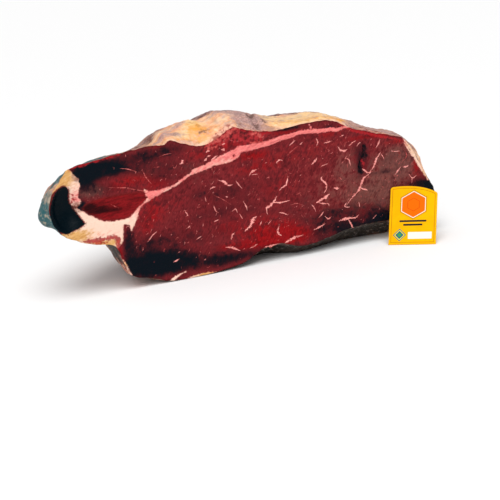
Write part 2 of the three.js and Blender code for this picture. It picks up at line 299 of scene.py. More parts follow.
PINK_PATCHES = [
    (153, 193, 13, 8, 1), (134, 214, 10, 8, 0.45), (180, 180, 16, 10, 0.75), (206, 166, 20, 12, 0.8),
    (236, 153, 16, 10, 0.8), (270, 142, 36, 10, 1), (320, 131, 50, 9, 1.1), (77, 199, 6, 7, 0.8),
    (142, 205, 6, 6, 0.5), (100, 236, 26, 4, 0.3), (404, 146, 5, 12, 0.5), (74, 187, 5, 6, 0.2),
]
OVAL_CORE_PATCHES = [
    (103, 210.5, 13, 3.2, 1), (93, 206, 10, 3, 0.55), (122, 210.5, 12, 2.6, 0.35), (88, 209, 6, 6, 0.6),
]
TORN_PATCHES = [(232, 136, 9, 6, 1), (245, 138, 12, 7, 1), (258, 136, 10, 6, 0.8), (222, 143, 8, 4, 0.6)]
# What colours the cut face, by the name of the value that each piece's mesh carries.
FACE_AREAS = {"dish": DISH, "oval": OVAL_MUSCLE}
FACE_STROKES = {"raw": RAW_LINES, "salmon": SALMON_LINES, "blood": BLOOD_LINES, "gash": [GASH]}
FACE_PATCHES = {
    "dark": DARK_PATCHES, "vivid": VIVID_PATCHES, "brown": BROWN_PATCHES, "yellow": YELLOW_PATCHES,
    "pink": PINK_PATCHES, "torn": TORN_PATCHES, "core": OVAL_CORE_PATCHES,
}
# Flecks of fat on the cut face: picture places with half widths.
FLECKS = [
    [(288.5, 176, 0.5), (287.5, 181.5, 0.7), (286, 185.5, 0.6), (282, 188, 0.4), (279.5, 191, 0.3)],
    [(277, 196, 0.5), (274, 202, 1.1), (270, 206, 1), (267, 208.5, 0.9), (268, 215, 0.4)],
    [(274, 202.5, 0.8), (281, 202.5, 0.6), (290, 200.5, 0.3)],
    [(323, 176, 0.5), (321.5, 179, 0.7), (326.5, 184, 0.8), (326.5, 189, 0.8), (324, 193, 0.5)],
    [(330, 194, 0.5), (325, 197.5, 1.1), (320, 200.5, 1), (316.5, 203, 0.7)],
    [(316.5, 202.5, 0.7), (323, 203.5, 0.6), (328.5, 204, 0.6), (329.5, 206.5, 0.3)],
    [(381, 152, 0.4), (376.5, 159, 0.9), (374.5, 165, 0.8), (372, 170, 0.5)],
    [(368.5, 174.5, 0.6), (363.5, 179, 1), (361.5, 184, 0.9), (359, 190, 0.8), (352, 198, 0.5),
     (346.5, 205.5, 0.6)],
    [(361, 188, 0.7), (368, 190.5, 0.3)],
    [(346.5, 203, 0.6), (345, 206.5, 0.6), (350, 207, 0.3)],
    [(338, 146, 0.4), (340.5, 150, 0.7), (345, 151, 0.8), (348, 149, 0.3)],
    [(349, 146, 0.4), (352.5, 143, 0.5), (356, 140.5, 0.3)],
    [(357, 146.5, 0.2), (359, 143.5, 0.3), (361, 142.5, 0.2)],
    [(380.5, 139, 0.3), (378, 145, 0.5), (376, 148, 0.2)],
    [(344.5, 158.5, 0.3), (349, 159.5, 0.5), (350.5, 164, 0.4), (351, 166, 0.2)],
    [(401, 167, 0.5), (398, 171, 0.7), (395, 175, 0.3)],
    [(403, 167, 0.3), (407, 166.5, 0.7), (409, 165, 0.2)],
    [(409, 174, 0.2), (412.5, 178, 0.4), (417, 175, 0.2)],
    [(412.5, 178, 0.4), (412, 183, 0.2)],
    [(381, 154, 0.2), (383.5, 157.5, 0.4), (384, 160, 0.2)],
    [(391, 151, 0.2), (396, 151.5, 0.3), (400, 151, 0.2)],
    [(334, 187.5, 0.4), (337, 188.5, 1.2), (338.5, 189, 0.5)],
    [(339, 221, 0.4), (344, 219.5, 1.1), (350, 218, 0.9), (356, 217.5, 0.5), (359, 214.5, 0.4)],
    [(348.5, 219, 0.6), (351, 224, 0.7), (353.5, 228.5, 0.3)],
    [(256.5, 216, 0.8), (253, 221, 1.5), (250, 226.5, 1), (245, 231.5, 0.4)],
    [(235, 232.5, 0.4), (232.5, 236, 0.9), (231.5, 240, 0.3)],
    [(225.5, 247.5, 0.3), (231, 247.5, 0.7), (236, 249, 0.6), (241, 251, 0.2)],
    [(258, 244, 0.2), (254, 246.5, 0.6), (250, 248.5, 0.4)],
    [(304, 235, 0.4), (297, 237, 1), (291, 239.5, 1.2), (285, 243, 0.6)],
    [(280, 224, 0.3), (278.5, 229, 0.7), (278.5, 233, 1), (282, 236, 0.4)],
    [(264, 247.5, 0.5), (268, 246.5, 0.9), (274, 245, 0.5), (279, 243.5, 0.2)],
    [(326, 223.5, 0.3), (320, 227, 0.6), (314, 230, 0.4)],
    [(324, 211.5, 0.3), (322, 214.5, 0.7), (319, 218, 0.3)],
    [(325, 216, 0.2), (329, 219, 0.5), (332, 216, 0.3)],
    [(279.5, 212.5, 0.4), (284, 213.5, 0.6), (289, 215, 0.3)],
    [(311, 204, 0.2), (314.5, 208, 0.4), (316, 212, 0.2)],
    [(210, 189.5, 0.4), (213, 187.5, 0.6), (216, 187, 0.4)],
    [(218.5, 180.5, 0.4), (224, 182, 0.8), (229, 185.5, 0.7), (233.5, 184.5, 0.3)],
    [(249.5, 176.5, 0.3), (251.5, 172.5, 0.7), (257.5, 169.5, 0.6)],
    [(252, 175, 0.2), (258.5, 174, 0.3)],
    [(276, 163.5, 0.6), (280, 160, 0.5), (283, 161, 0.4)],
    [(311.5, 164.5, 0.3), (314.5, 162, 0.9), (317.5, 157.5, 0.3)],
    [(321, 166.5, 0.2), (328, 163.5, 0.4)],
    [(316.5, 138.5, 0.3), (318, 142.5, 0.6), (316.5, 146, 0.3)],
    [(323, 143.5, 0.3), (332, 141, 0.5)],
    [(289.5, 145.5, 0.3), (295.5, 140.5, 0.5)],
    [(300, 145, 0.3), (303, 142, 0.5)],
    [(148, 242, 0.5), (152, 236.5, 0.5), (157, 231.5, 0.3)],
    [(184.5, 210, 0.3), (188.5, 216, 0.6)],
    [(186.5, 229, 0.3), (190.5, 226, 0.5)],
    [(173.5, 262.5, 0.5), (179.5, 259, 0.5)],
    [(180, 164.5, 0.6), (182, 162.5, 1), (183.5, 160, 0.7)],
    [(206, 152.5, 0.4), (208, 151, 0.8), (210, 151, 0.4)],
    [(221, 150, 0.4), (223.5, 149.5, 0.8), (225, 151, 0.4)],
    [(222, 145, 0.3), (224, 144, 0.6), (225.5, 143.5, 0.3)],
    [(207, 157, 0.3), (209, 156, 0.6), (211, 155.5, 0.3)],
    [(204, 161, 0.4), (206, 159.5, 0.7), (207, 158, 0.3)],
    [(211, 160.5, 0.3), (215, 157.5, 0.6), (218, 155.5, 0.3)],
    [(243.5, 201, 0.2), (247, 207.5, 0.4), (247.5, 211, 0.2)],
    [(205, 196, 0.3), (206.5, 202, 0.5)],
    [(226, 196.5, 0.5), (228, 197.5, 0.5)],
    [(373, 219, 0.2), (377, 214.5, 0.3)],
    [(340, 137, 0.2), (344, 135, 0.4)],
    [(359, 202, 0.2), (360, 207, 0.3)],
    [(260, 225.5, 0.3), (262, 221, 0.4)],
    [(240, 214, 0.3), (243, 219, 0.4)],
    [(214, 222, 0.3), (219, 219.5, 0.4)],
    [(196, 240, 0.2), (202, 236, 0.4)],
    [(362.5, 168.5, 0.3), (364.5, 170, 0.7), (367.5, 172.5, 0.8), (370.5, 172.5, 0.5)],
    [(372, 169, 0.5), (370, 173, 0.7), (368, 175.5, 0.6)],
    [(340, 187.5, 0.2), (337, 190, 0.3)],
    [(268, 225, 0.2), (272, 220, 0.3)],
    [(236, 181, 0.3), (240, 186, 0.4), (243, 189, 0.2)],
    [(214, 206, 0.3), (216, 211, 0.5), (219, 213, 0.3)],
    [(232, 212, 0.2), (236, 209, 0.4), (238, 213, 0.3)],
]
# Fainter and redder ones, given the same way
FAINT_FLECKS = [
    [(120, 168.5, 0.3), (129, 169.5, 0.5), (137, 172, 0.3)],
    [(142, 169, 0.4), (145.5, 176.5, 0.6), (152, 184.5, 0.3)],
    [(153, 167.5, 0.3), (160, 167, 0.5)],
    [(158, 157.5, 0.2), (166, 154.5, 0.4), (172, 153.5, 0.2)],
    [(108, 188, 0.3), (125, 188, 0.5), (134, 189.5, 0.6), (146, 191.5, 0.7)],
    [(112, 205, 0.3), (116, 207, 0.5), (120.5, 209, 0.3)],
    [(212, 194.5, 0.2), (222, 199, 0.3), (232, 205, 0.2)],
    [(172, 163, 0.2), (175, 168.5, 0.4), (178, 163, 0.2)],
    [(350, 193, 0.2), (356, 196.5, 0.2)],
    [(396, 212, 0.2), (402, 207, 0.3)],
    [(296, 195, 0.2), (301, 192.5, 0.4)],
    [(290, 205, 0.2), (297, 203.5, 0.4), (303, 205, 0.2)],
    [(300, 213, 0.2), (304, 218, 0.3)],
    [(402, 148, 0.2), (406, 152, 0.4), (406.5, 157, 0.5), (404, 160, 0.3), (401, 164, 0.3)],
    [(286.5, 156, 0.3), (292, 151, 0.5), (298, 146, 0.4)],
]
# Both kinds, with their redness, how fat they are, and how much wider than drawn. Then how much
# redder one can be, the spacing and the fewest of its sections, and the steps from knot to knot.
FLECK_KINDS = [(FLECKS, 0.0, 1.25, 1.7), (FAINT_FLECKS, 0.6, 0.7, 1.3)]
FLECK_BLUSH = 0.3
FLECK_SPACING = 0.6
FLECK_FEWEST = 5
FLECK_STEPS = 8
FLECK_SEED = 11
# A fleck's section: across as a share of its half width, rise above the face, and how fat it is.
FLECK_SECTION = [
    (-1, -0.1, 0), (-0.55, 0.07, 0.7), (0, 0.11, 1), (0.55, 0.07, 0.7), (1, -0.1, 0), (0, -0.5, 0),
]
# The power that a fleck tapers by, its least width at the tips, how uneven its width and its line
# are, and the half width from which its section has its full height.
FLECK_TAPER = 0.45
FLECK_LEAST = 0.02
FLECK_UNEVEN = 0.8
FLECK_SWAY = 0.22
FLECK_FULL_WIDTH = 0.3
# Small flecks: corners of the field they are strewn over, and how many places are tried for each.
SMALL_FLECK_FIELD = ((-180, 0), (184, 122))
SMALL_FLECK_TRIES = 3
# From least to most: length and the share of it that is left, half width, bend, redness and how fat.
SMALL_FLECK_LENGTHS = (1.0, 5.4)
SMALL_FLECK_SHARES = (0.4, 1)
SMALL_FLECK_WIDTHS = (0.16, 0.42)
SMALL_FLECK_BENDS = (-0.6, 0.6)
SMALL_FLECK_REDNESS = (0.25, 1)
SMALL_FLECK_FATNESS = (0.35, 0.95)
# How wide both ends are as a share of the middle, the lean in degrees and how far it strays.
SMALL_FLECK_ENDS = (0.7, 0.6)
SMALL_FLECK_LEAN = 50
SMALL_FLECK_STRAY = 34
SMALL_FLECK_SPACING = 0.9
SMALL_FLECK_FEWEST = 4
SMALL_FLECK_STEPS = 4
# They keep this far from the rim, the fat, the dish and the oval muscle, and thin out in the dark.
CLEAR_OF_RIM = 3
CLEAR_OF_FAT = 1.5
CLEAR_OF_DISH = 2
CLEAR_OF_OVAL = 1
THIN_IN_DARK = 0.8

# Soft patches on the crust: centre and reach in millimetres, and strength.
CRUST_PATCHES = {
    "cream": [
        ((-58, -38, 118), (30, 20, 40), 1.2), ((-96, -43, 114), (26, 11, 30), 1.05),
        ((-26, -38, 124), (20, 14, 40), 0.9), ((-38, -18, 124), (30, 13, 40), 1.3),
        ((54, -34, 118), (40, 22, 40), 1.2), ((88, -38, 112), (14, 12, 30), 0.5),
        ((44, -8, 126), (26, 14, 24), 0.9), ((-150, -47, 40), (16, 9, 12), 1.2),
        ((-20, 40, 92), (60, 26, 12), 0.8), ((100, 50, 40), (34, 26, 12), 0.7),
        ((-104, 30, 40), (26, 26, 12), 0.7), ((178, -40, 70), (16, 18, 26), 1.3),
        ((-178, -44, 96), (7, 8, 9), 0.7), ((150, -30, 92), (10, 12, 10), 0.5),
        ((150, 18, 90), (26, 18, 14), 0.6), ((20, 66, 24), (46, 16, 8), 0.5),
    ],
    "gold": [
        ((-43, -36, 124), (10, 8, 30), 1.2), ((86, -42, 118), (9, 5, 20), 1.2),
        ((-85, -46, 116), (12, 3, 20), 0.4), ((52, -38, 116), (34, 9, 20), 0.75),
        ((-60, -46, 116), (16, 3, 20), 0.5),
    ],
    "wax": [
        ((52, -28, 120), (40, 22, 30), 1.5), ((-44, -26, 124), (11, 7, 30), 1),
        ((-62, -38, 118), (12, 7, 30), 0.7),
    ],
    "ash": [
        ((-187, -38, 88), (9, 16, 14), 1.4), ((-183, -44, 80), (5, 8, 12), 0.9),
        ((8, -27, 126), (11, 13, 30), 0.66),
    ],
    "mauve": [
        ((-74, -36, 118), (12, 3.2, 20), 1.2), ((-57, -24, 120), (8, 4.5, 20), 0.9),
        ((-6, -16, 128), (14, 8, 20), 1), ((2, -30, 126), (14, 20, 40), 1.5),
        ((120, -34, 104), (34, 22, 30), 0.9), ((62, 23, 116), (58, 16, 24), 0.8),
        ((-60, 10, 112), (40, 14, 24), 0.7), ((0, 62, 60), (60, 30, 16), 0.5),
        ((-120, 6, 90), (24, 22, 22), 0.5), ((130, 40, 70), (34, 24, 20), 0.5),
    ],
    "slate": [
        ((-160, -40, 104), (20, 20, 20), 0.9), ((-128, -36, 112), (24, 14, 20), 0.7),
        ((-190, -36, 60), (18, 28, 19), 2.4),
    ],
    "fresh": [
        ((-121, -46, 16), (14, 9, 20), 1.6), ((126, -48, 97), (30, 2.6, 14), 0.9),
        ((-30, -49, 119), (16, 3, 12), 1), ((2, -50, 118), (12, 2, 12), 0.7),
        ((-84, -50, 117), (8, 1.6, 12), 0.5),
    ],
    # Painted shade, nearly black: low on the crust, under the overhang, at the right end below the fat and on
    # the strip by the notch in the rim at the left.
    "painted_low_shade": [
        ((181, -42, 34), (14, 20, 20), 1.5), ((-130, -36, 37), (13, 16, 14), 1.6),
        ((90, -40, 10), (90, 30, 12), 1.2), ((-20, -30, 2), (90, 40, 8), 1),
    ],
    "shade": [
        ((7, -42, 120), (2.6, 4, 20), 0.8), ((5, -33, 126), (2.6, 5, 30), 1),
        ((11, -22, 126), (3.4, 6, 30), 0.95), ((15, -38, 126), (2, 5, 30), 0.7),
        ((-41, -39, 124), (5, 2.6, 20), 0.85), ((-88, -32, 116), (9, 3, 10), 0.6),
        ((116, -44, 102), (40, 1.6, 12), 0.7),
    ],
}
# Where a sum of patches has its border, and how many millimetres one whole patch counts for.
PATCH_LEVEL = 0.45
PATCH_WIDTH = 16
# Fat along the creases: its mean strength and how much that changes, by noise of a size and seed.
CREASE_FAT = (0.5, 0.8, 24, 41)
# Heights and depths over which the crust passes from low to high and from front to back.
LOW_HEIGHTS = (12, 60)
BEHIND_DEPTHS = (FACE_Y + 20, FACE_Y + 75)

# Card, in millimetres
CARD_WIDTH = 42
CARD_HEIGHT = 53
CARD_THICK = 0.8
CARD_CORNER = 2
# Its top is cut askew: moved to the right, arched, and lower at its right end.
CARD_SKEW = 2.5
CARD_RISE = 2.6
CARD_DROP = 5
CARD_ARCH_AT = 0.6
CARD_FOOT = (117, -18)
CARD_TURN = -36
CARD_GAP = 0.35
CARD_STEP = 0.4
# Print on the card, from its lower left corner. The badge's seat is outside it, its edge and its
# inner line inside.
BORDER_INSET = 2
BORDER_HALF = 0.28
BADGE_MIDDLE = (21, 36.5)
BADGE_REACH = 10.8
BADGE_SEAT = 1.1
BADGE_EDGE = 0.6
BADGE_INNER = 5.6
RING_HALF = 0.3
# Middle, half width and half height of the bars and the field, and their corners.
BARS = [(21, 21.4, 12, 0.85), (21, 18, 8.5, 0.85)]
BAR_CORNER = 0.3
FIELD = (27.5, 8.2, 10.5, 3.1)
FIELD_CORNER = 0.4
MARK_MIDDLE = (9.5, 8.8)
MARK_REACH = 5.8
# How far inside the small mark its yellow, its inner blue and its green begin.
MARK_YELLOW = 0.9
MARK_BLUE = 2.0
MARK_GREEN = 3.4
# Half the width over which the print's edges pass.
PRINT_SOFT = 0.08

# Stage, in metres
FLOOR_HALF = 14
FLOOR_ROUGHNESS = 0.8
FLOOR_GLOSS = 0.1
SUN_PLACE = (-0.4, -1.0, 2.4)
SUN_ANGLE = 0.9
PANEL_PLACE = (-0.9, -1.2, 0.9)
PANEL_AIM = (0, 0, 0.05)
PANEL_SIZE = (0.5, 0.35)


def colour(name, description, *default):
    """A colour that a user can set, as linear red, green and blue."""
    return FloatVectorProperty(
        name=name, description=description, default=default, subtype="COLOR", min=0, max=1)


def relief(name, description, millimetres):
    """A height of relief that a user can set."""
    return FloatProperty(
        name=name, description=description, default=millimetres * MM, subtype="DISTANCE", unit="LENGTH")


class MeatSizes(bpy.types.PropertyGroup):
    """Mesh steps and fine relief of the meat."""
    half_steps: IntProperty(
        name="Half steps", description="Mesh steps along each half of the rim", default=400, min=40)
    face_rings: IntProperty(
        name="Face rings", description="Rings from the rim to the middle of the cut face",
        default=66, min=8)
    crust_rings: IntProperty(
        name="Crust rings", description="Rings from the rim to the back", default=52, min=8)
    wrinkle: relief("Wrinkle height", "Height of the crust's folds", 1.5)
    pebble: relief("Pebble height", "Height of the crust's small lumps", 0.5)
    ripple: relief("Ripple height", "Height of the cut face's soft waves", 0.45)
    small_flecks: IntProperty(
        name="Small flecks", description="How many small flecks of fat are strewn over the face",
        default=560, min=0)


class MeatColours(bpy.types.PropertyGroup):
    """Colours of the cut face and the crust."""
    lean: colour("Lean", "Lean meat in the middle of the face", 0.250, 0.022, 0.027)
    brown: colour("Brown lean", "Duller lean meat on the right", 0.245, 0.082, 0.068)
    vivid: colour("Vivid lean", "Bright red lean meat near the rim", 0.400, 0.006, 0.009)
    # Also carries the painted shade of the dark patches at the lower right, at the right corner and round the
    # gash.
    navy: colour("Dark lean", "Blue-black lean meat", 0.001, 0.004, 0.008)
    white_fat: colour("White fat", "Fresh fat on the cut face", 0.970, 0.670, 0.530)
    pink_fat: colour("Pink fat", "Fat of the seams", 0.920, 0.215, 0.205)
    yellow_fat: colour("Yellow fat", "Dried fat near the rim", 0.740, 0.410, 0.140)
    cream: colour("Cream crust", "Fat on the outside", 0.920, 0.450, 0.235)
    gold: colour("Golden crust", "Golden-brown spots in the outer fat", 0.860, 0.340, 0.030)
    tan: colour("Tan crust", "Dried pinkish skin between the fat", 0.500, 0.270, 0.195)
    dried: colour("Dried muscle", "Red-brown dried muscle of the back", 0.095, 0.022, 0.016)
    mauve: colour("Mauve bloom", "Purple-grey bloom on the crust", 0.300, 0.175, 0.180)
    slate: colour("Slate crust", "Blue-green dried skin at the left", 0.008, 0.095, 0.110)
    # Painted shade: the nearly black colour laid low on the crust and under the overhang, where shade falls.
    painted_low_shade: colour("Painted low shade", "Dark dried skin low on the piece", 0.014, 0.012, 0.008)


class CardColours(bpy.types.PropertyGroup):
    """Colours printed on the card."""
    ground: colour("Ground", "Yellow ground of the card", 0.940, 0.480, 0.001)
    line: colour("Line", "Darker line inside the border", 0.500, 0.200, 0.004)
    badge: colour("Badge", "Orange six-sided badge", 0.900, 0.150, 0.002)
    pale: colour("Pale", "Pale ring of the badge and the blank field", 0.900, 0.860, 0.780)
    ink: colour("Ink", "Dark bars", 0.020, 0.022, 0.020)
    blue: colour("Blue", "Blue of the small mark", 0.010, 0.110, 0.240)
    green: colour("Green", "Green of the small mark", 0.060, 0.300, 0.080)


class StageLook(bpy.types.PropertyGroup):
    """Floor and lamps."""
    floor: colour("Floor", "Pale floor", 0.95, 0.95, 0.95)
    sun: FloatProperty(
        name="Sun", description="Strength of the wide soft light from above", default=2.1, min=0)
    front: FloatProperty(
        name="Front", description="Power of the soft panel in front", default=4.0, min=0,
        subtype="POWER", unit="POWER")
    sky: FloatProperty(
        name="Sky", description="Strength of the even light from all round", default=0.45, min=0)


def view_axes():
    """The camera's right, up and back directions: its azimuth turns it round the upright axis,
    its elevation lifts it, and its roll turns right and up about the line of sight."""
    azimuth, elevation, roll = np.radians([VIEW_AZIMUTH, VIEW_ELEVATION, VIEW_ROLL])
    back = np.array([
        math.sin(azimuth) * math.cos(elevation),
        -math.cos(azimuth) * math.cos(elevation),
        math.sin(elevation),
    ])
    level = np.cross(-back, (0, 0, 1))
    level /= np.linalg.norm(level)
    upright = np.cross(level, -back)
    right = math.cos(roll) * level - math.sin(roll) * upright
    up = math.sin(roll) * level + math.cos(roll) * upright
    return right, up, back


def face_place(places):
    """x and z on the plane of the cut face for places in the picture: each is a ray from the
    camera through that place, met with the plane y = FACE_Y."""
    places = np.asarray(places, float)
    right, up, back = view_axes()
    eye = np.array(VIEW_TARGET) + VIEW_DISTANCE * back
    scale = VIEW_SENSOR / VIEW_LENS / PICTURE_SIDE
    across = (places[:, :1] - PICTURE_SIDE / 2) * scale
    rise = (PICTURE_SIDE / 2 - places[:, 1:2]) * scale
    rays = across * right + rise * up - back
    points = eye + rays * ((FACE_Y - eye[1]) / rays[:, 1:2])
    return points[:, [0, 2]]


def ease(value, low, high):
    """0 below low and 1 above high, with the cubic 3t² - 2t³ between them."""
    t = np.clip((value - low) / (high - low), 0, 1)
    return t * t * (3 - 2 * t)


def read_table(table, x):
    """Smooth values between the places of a table: cubic pieces whose slopes are those between
    each place's two neighbours."""
    places, values = np.array(table, float).T
    last = len(places) - 1
    order = np.arange(last + 1)
    before = np.maximum(order - 1, 0)
    after = np.minimum(order + 1, last)
    slopes = (values[after] - values[before]) / (places[after] - places[before])
    x = np.clip(x, places[0], places[last])
    i = np.clip(np.searchsorted(places, x) - 1, 0, last - 1)
    span = places[i + 1] - places[i]
    t = (x - places[i]) / span
    rise = 3 * t**2 - 2 * t**3
    leave = t**3 - 2 * t**2 + t
    arrive = t**3 - t**2
    return values[i] * (1 - rise) + values[i + 1] * rise + span * (leave * slopes[i] + arrive * slopes[i + 1])


def smooth_line(knots, closed, steps):
    """A Catmull-Rom curve through knots whose first two columns are places: each span's end
    slopes follow from the square roots of the distances between neighbouring knots."""
    knots = np.asarray(knots, float)
    if closed:
        padded = np.vstack([knots[-1:], knots, knots[:2]])
    else:
        padded = np.vstack([2 * knots[:1] - knots[1:2], knots, 2 * knots[-1:] - knots[-2:-1]])
    p0, p1, p2, p3 = padded[:-3], padded[1:-2], padded[2:-1], padded[3:]
    gaps = np.sqrt(np.linalg.norm(np.diff(padded[:, :2], axis=0), axis=1))[:, None]
    d0, d1, d2 = gaps[:-2], gaps[1:-1], gaps[2:]
    leave = d1 * ((p1 - p0) / d0 - (p2 - p0) / (d0 + d1) + (p2 - p1) / d1)
    arrive = d1 * ((p2 - p1) / d1 - (p3 - p1) / (d1 + d2) + (p3 - p2) / d2)
    t = (np.arange(steps) / steps)[None, :, None]
    square = -3 * p1 + 3 * p2 - 2 * leave - arrive
    cube = 2 * p1 - 2 * p2 + leave + arrive
    curve = p1[:, None] + leave[:, None] * t + square[:, None] * t**2 + cube[:, None] * t**3
    return np.vstack([curve.reshape(-1, knots.shape[1]), p2[-1:]])


def spaced_evenly(line, count):
    """count + 1 points at equal distances along an open line, its other columns carried with it."""
    steps = np.linalg.norm(np.diff(line[:, :2], axis=0), axis=1)
    reach = np.concatenate([[0], np.cumsum(steps)])
    want = np.linspace(0, reach[-1], count + 1)
    return np.stack([np.interp(want, reach, column) for column in line.T], axis=1)


def lattice_noise(points, size, seed):
    """Smooth noise from -1 to 1: fixed random values at the corners of cubes of one size,
    blended by 3t² - 2t³ along each axis."""
    values = np.random.default_rng(seed).uniform(-1, 1, NOISE_VALUES)
    cell = np.asarray(points, float) / size + NOISE_SHIFT
    corner = np.floor(cell).astype(np.int64)
    t = cell - corner
    t = t * t * (3 - 2 * t)
    total = np.zeros(cell.shape[:-1])
    for step in product((0, 1), repeat=3):
        key = (corner + step) @ np.array(NOISE_KEYS)
        key = (key ^ (key >> NOISE_BITS)) % NOISE_VALUES
        total += values[key] * np.prod(np.where(step, t, 1 - t), axis=-1)
    return total


def noise_sum(points, layers):
    """The sum of noises, each with its size, height and seed."""
    return sum(height * lattice_noise(points, size, seed) for size, height, seed in layers)


def soft_sum(points, patches):
    """The sum of soft patches, each amount·exp(-away²), with away counted in reaches from its
    centre along each axis."""
    total = np.zeros(points.shape[:-1])
    for centre, reach, amount in patches:
        total += amount * np.exp(-(((points - centre) / np.array(reach, float))**2).sum(axis=-1))
    return total


def nearest_on_piece(x, z, start, end):
    """The share along a straight piece that is nearest to a place given by two coordinates, and
    the distance between them."""
    dx, dz = end[0] - start[0], end[1] - start[1]
    share = np.clip(((x - start[0]) * dx + (z - start[1]) * dz) / (dx * dx + dz * dz), 0, 1)
    return share, np.hypot(x - start[0] - share * dx, z - start[1] - share * dz)


def inside_area(x, z, outline):
    """Distance to a closed outline, counted positive inside it: the nearest of its edges, with
    the sign from how often a level line to the right crosses it."""
    nearest = np.full(x.shape, np.inf)
    inside = np.zeros(x.shape, bool)
    for start, end in zip(outline, np.roll(outline, -1, axis=0)):
        nearest = np.minimum(nearest, nearest_on_piece(x, z, start, end)[1])
        dx, dz = end - start
        if dz:
            crosses = (start[1] > z) != (end[1] > z)
            inside ^= crosses & (x < start[0] + dx * (z - start[1]) / dz)
    return np.where(inside, nearest, -nearest)


def inside_stroke(x, z, line):
    """Distance into a line of changing half width: the half width at the nearest place of each
    piece of the line less the distance to it, and the greatest of these."""
    deepest = np.full(x.shape, -np.inf)
    for start, end in zip(line[:-1], line[1:]):
        share, away = nearest_on_piece(x, z, start, end)
        deepest = np.maximum(deepest, start[2] + share * (end[2] - start[2]) - away)
    return deepest


def face_outline(places):
    """A smooth closed outline on the face in millimetres, from picture places."""
    return smooth_line(face_place(places), True, AREA_STEPS)[:-1]


def face_stroke(knots):
    """A stroke on the face in millimetres, from picture places with half widths."""
    knots = np.asarray(knots, float)
    return np.column_stack([face_place(knots), knots[:, 2] * FACE_STEP])


def inside_strokes(x, z, lines):
    """Distance into the nearest of several strokes, given as picture places with half widths."""
    return np.max([inside_stroke(x, z, face_stroke(line)) for line in lines], axis=0)


def glow(x, z, patches):
    """The sum of soft round patches, each strength·exp(-(dx/reach)² - (dz/reach)²), cut off at 1."""
    table = np.array(patches, float)
    total = np.zeros(x.shape)
    for (cx, cz), (_, _, reach, rise, strength) in zip(face_place(table), table):
        away = ((x - cx) / (reach * FACE_STEP))**2 + ((z - cz) / (rise * FACE_STEP))**2
        total += strength * np.exp(-away)
    return np.clip(total, 0, 1)


def fat_on_face(x, z):
    """Distance into the nearest fat on the cut face, over its areas and lines, less the holes."""
    areas = [inside_area(x, z, face_outline(area)) for area in FACE_FAT_AREAS]
    deepest = np.maximum(np.max(areas, axis=0), inside_strokes(x, z, FACE_FAT_LINES))
    for hole in face_stroke(SEAM_HOLES):
        deepest = np.minimum(deepest, np.hypot(x - hole[0], z - hole[1]) - hole[2])
    return deepest


def face_marks(x, z):
    """The named values that colour the cut face at x and z: distances into its areas and strokes
    in millimetres, and soft patches from 0 to 1."""
    marks = {"fat": fat_on_face(x, z)}
    marks |= {label: inside_area(x, z, face_outline(area)) for label, area in FACE_AREAS.items()}
    marks |= {label: inside_strokes(x, z, lines) for label, lines in FACE_STROKES.items()}
    marks = {label: np.maximum(value, -DISTANCE_LIMIT) for label, value in marks.items()}
    return marks | {label: glow(x, z, patches) for label, patches in FACE_PATCHES.items()}


def rim_outline():
    """The rim as one smooth closed outline with few points."""
    return smooth_line(RIM_TOP + RIM_BELOW, True, RIM_STEPS)[:-1]


def face_sink(x, z, ripple):
    """How deep the cut face lies at x and z: the hollows, each depth·(1 - across² - up²) to the
    power 1.5, the gash, soft waves, and fat that stands a little proud, fading out to the rim."""
    sink = np.zeros(x.shape)
    for cx, cz, width, height, depth in FACE_HOLLOWS:
        inside = np.clip(1 - ((x - cx) / width)**2 - ((z - cz) / height)**2, 0, 1)
        sink += depth * inside**HOLLOW_POWER
    sink += ripple * (1 + noise_sum(np.stack([x, z, np.zeros(x.shape)], axis=-1), FACE_WAVES))
    sink += GASH_DEPTH * ease(inside_strokes(x, z, [GASH]), *GASH_SIDES)
    sink -= FAT_RISE * ease(fat_on_face(x, z), *FAT_SIDES)
    return sink * ease(inside_area(x, z, rim_outline()), 0, RIM_FADE)


def quad_strips(rows):
    """Quads between each row of a grid of point numbers and the next, closed round the row."""
    outer, inner = np.array(rows[:-1]), np.array(rows[1:])
    quads = np.stack([outer, np.roll(outer, -1, 1), np.roll(inner, -1, 1), inner], axis=-1)
    return quads.reshape(-1, 4)


def mesh_object(name, points, faces, marks):
    """A new smooth mesh object in metres, from points in millimetres, four-sided faces that are
    turned outwards if their volume is negative, and named values a point."""
    volume = 0
    for corners in (points[faces[:, :3]], points[faces[:, [0, 2, 3]]]):
        volume += np.einsum("ij,ij->", corners[:, 0], np.cross(corners[:, 1], corners[:, 2]))
    if volume < 0:
        faces = faces[:, ::-1]
    mesh = bpy.data.meshes.new(name)
    mesh.from_pydata((points * MM).tolist(), [], faces.tolist())
    for label, values in marks.items():
        mesh.attributes.new(label, "FLOAT", "POINT").data.foreach_set("value", values.astype(np.float32))
    mesh.polygons.foreach_set("use_smooth", np.full(len(faces), True))
    mesh.update()
    piece = bpy.data.objects.new(name, mesh)
    bpy.context.scene.collection.objects.link(piece)
    return piece


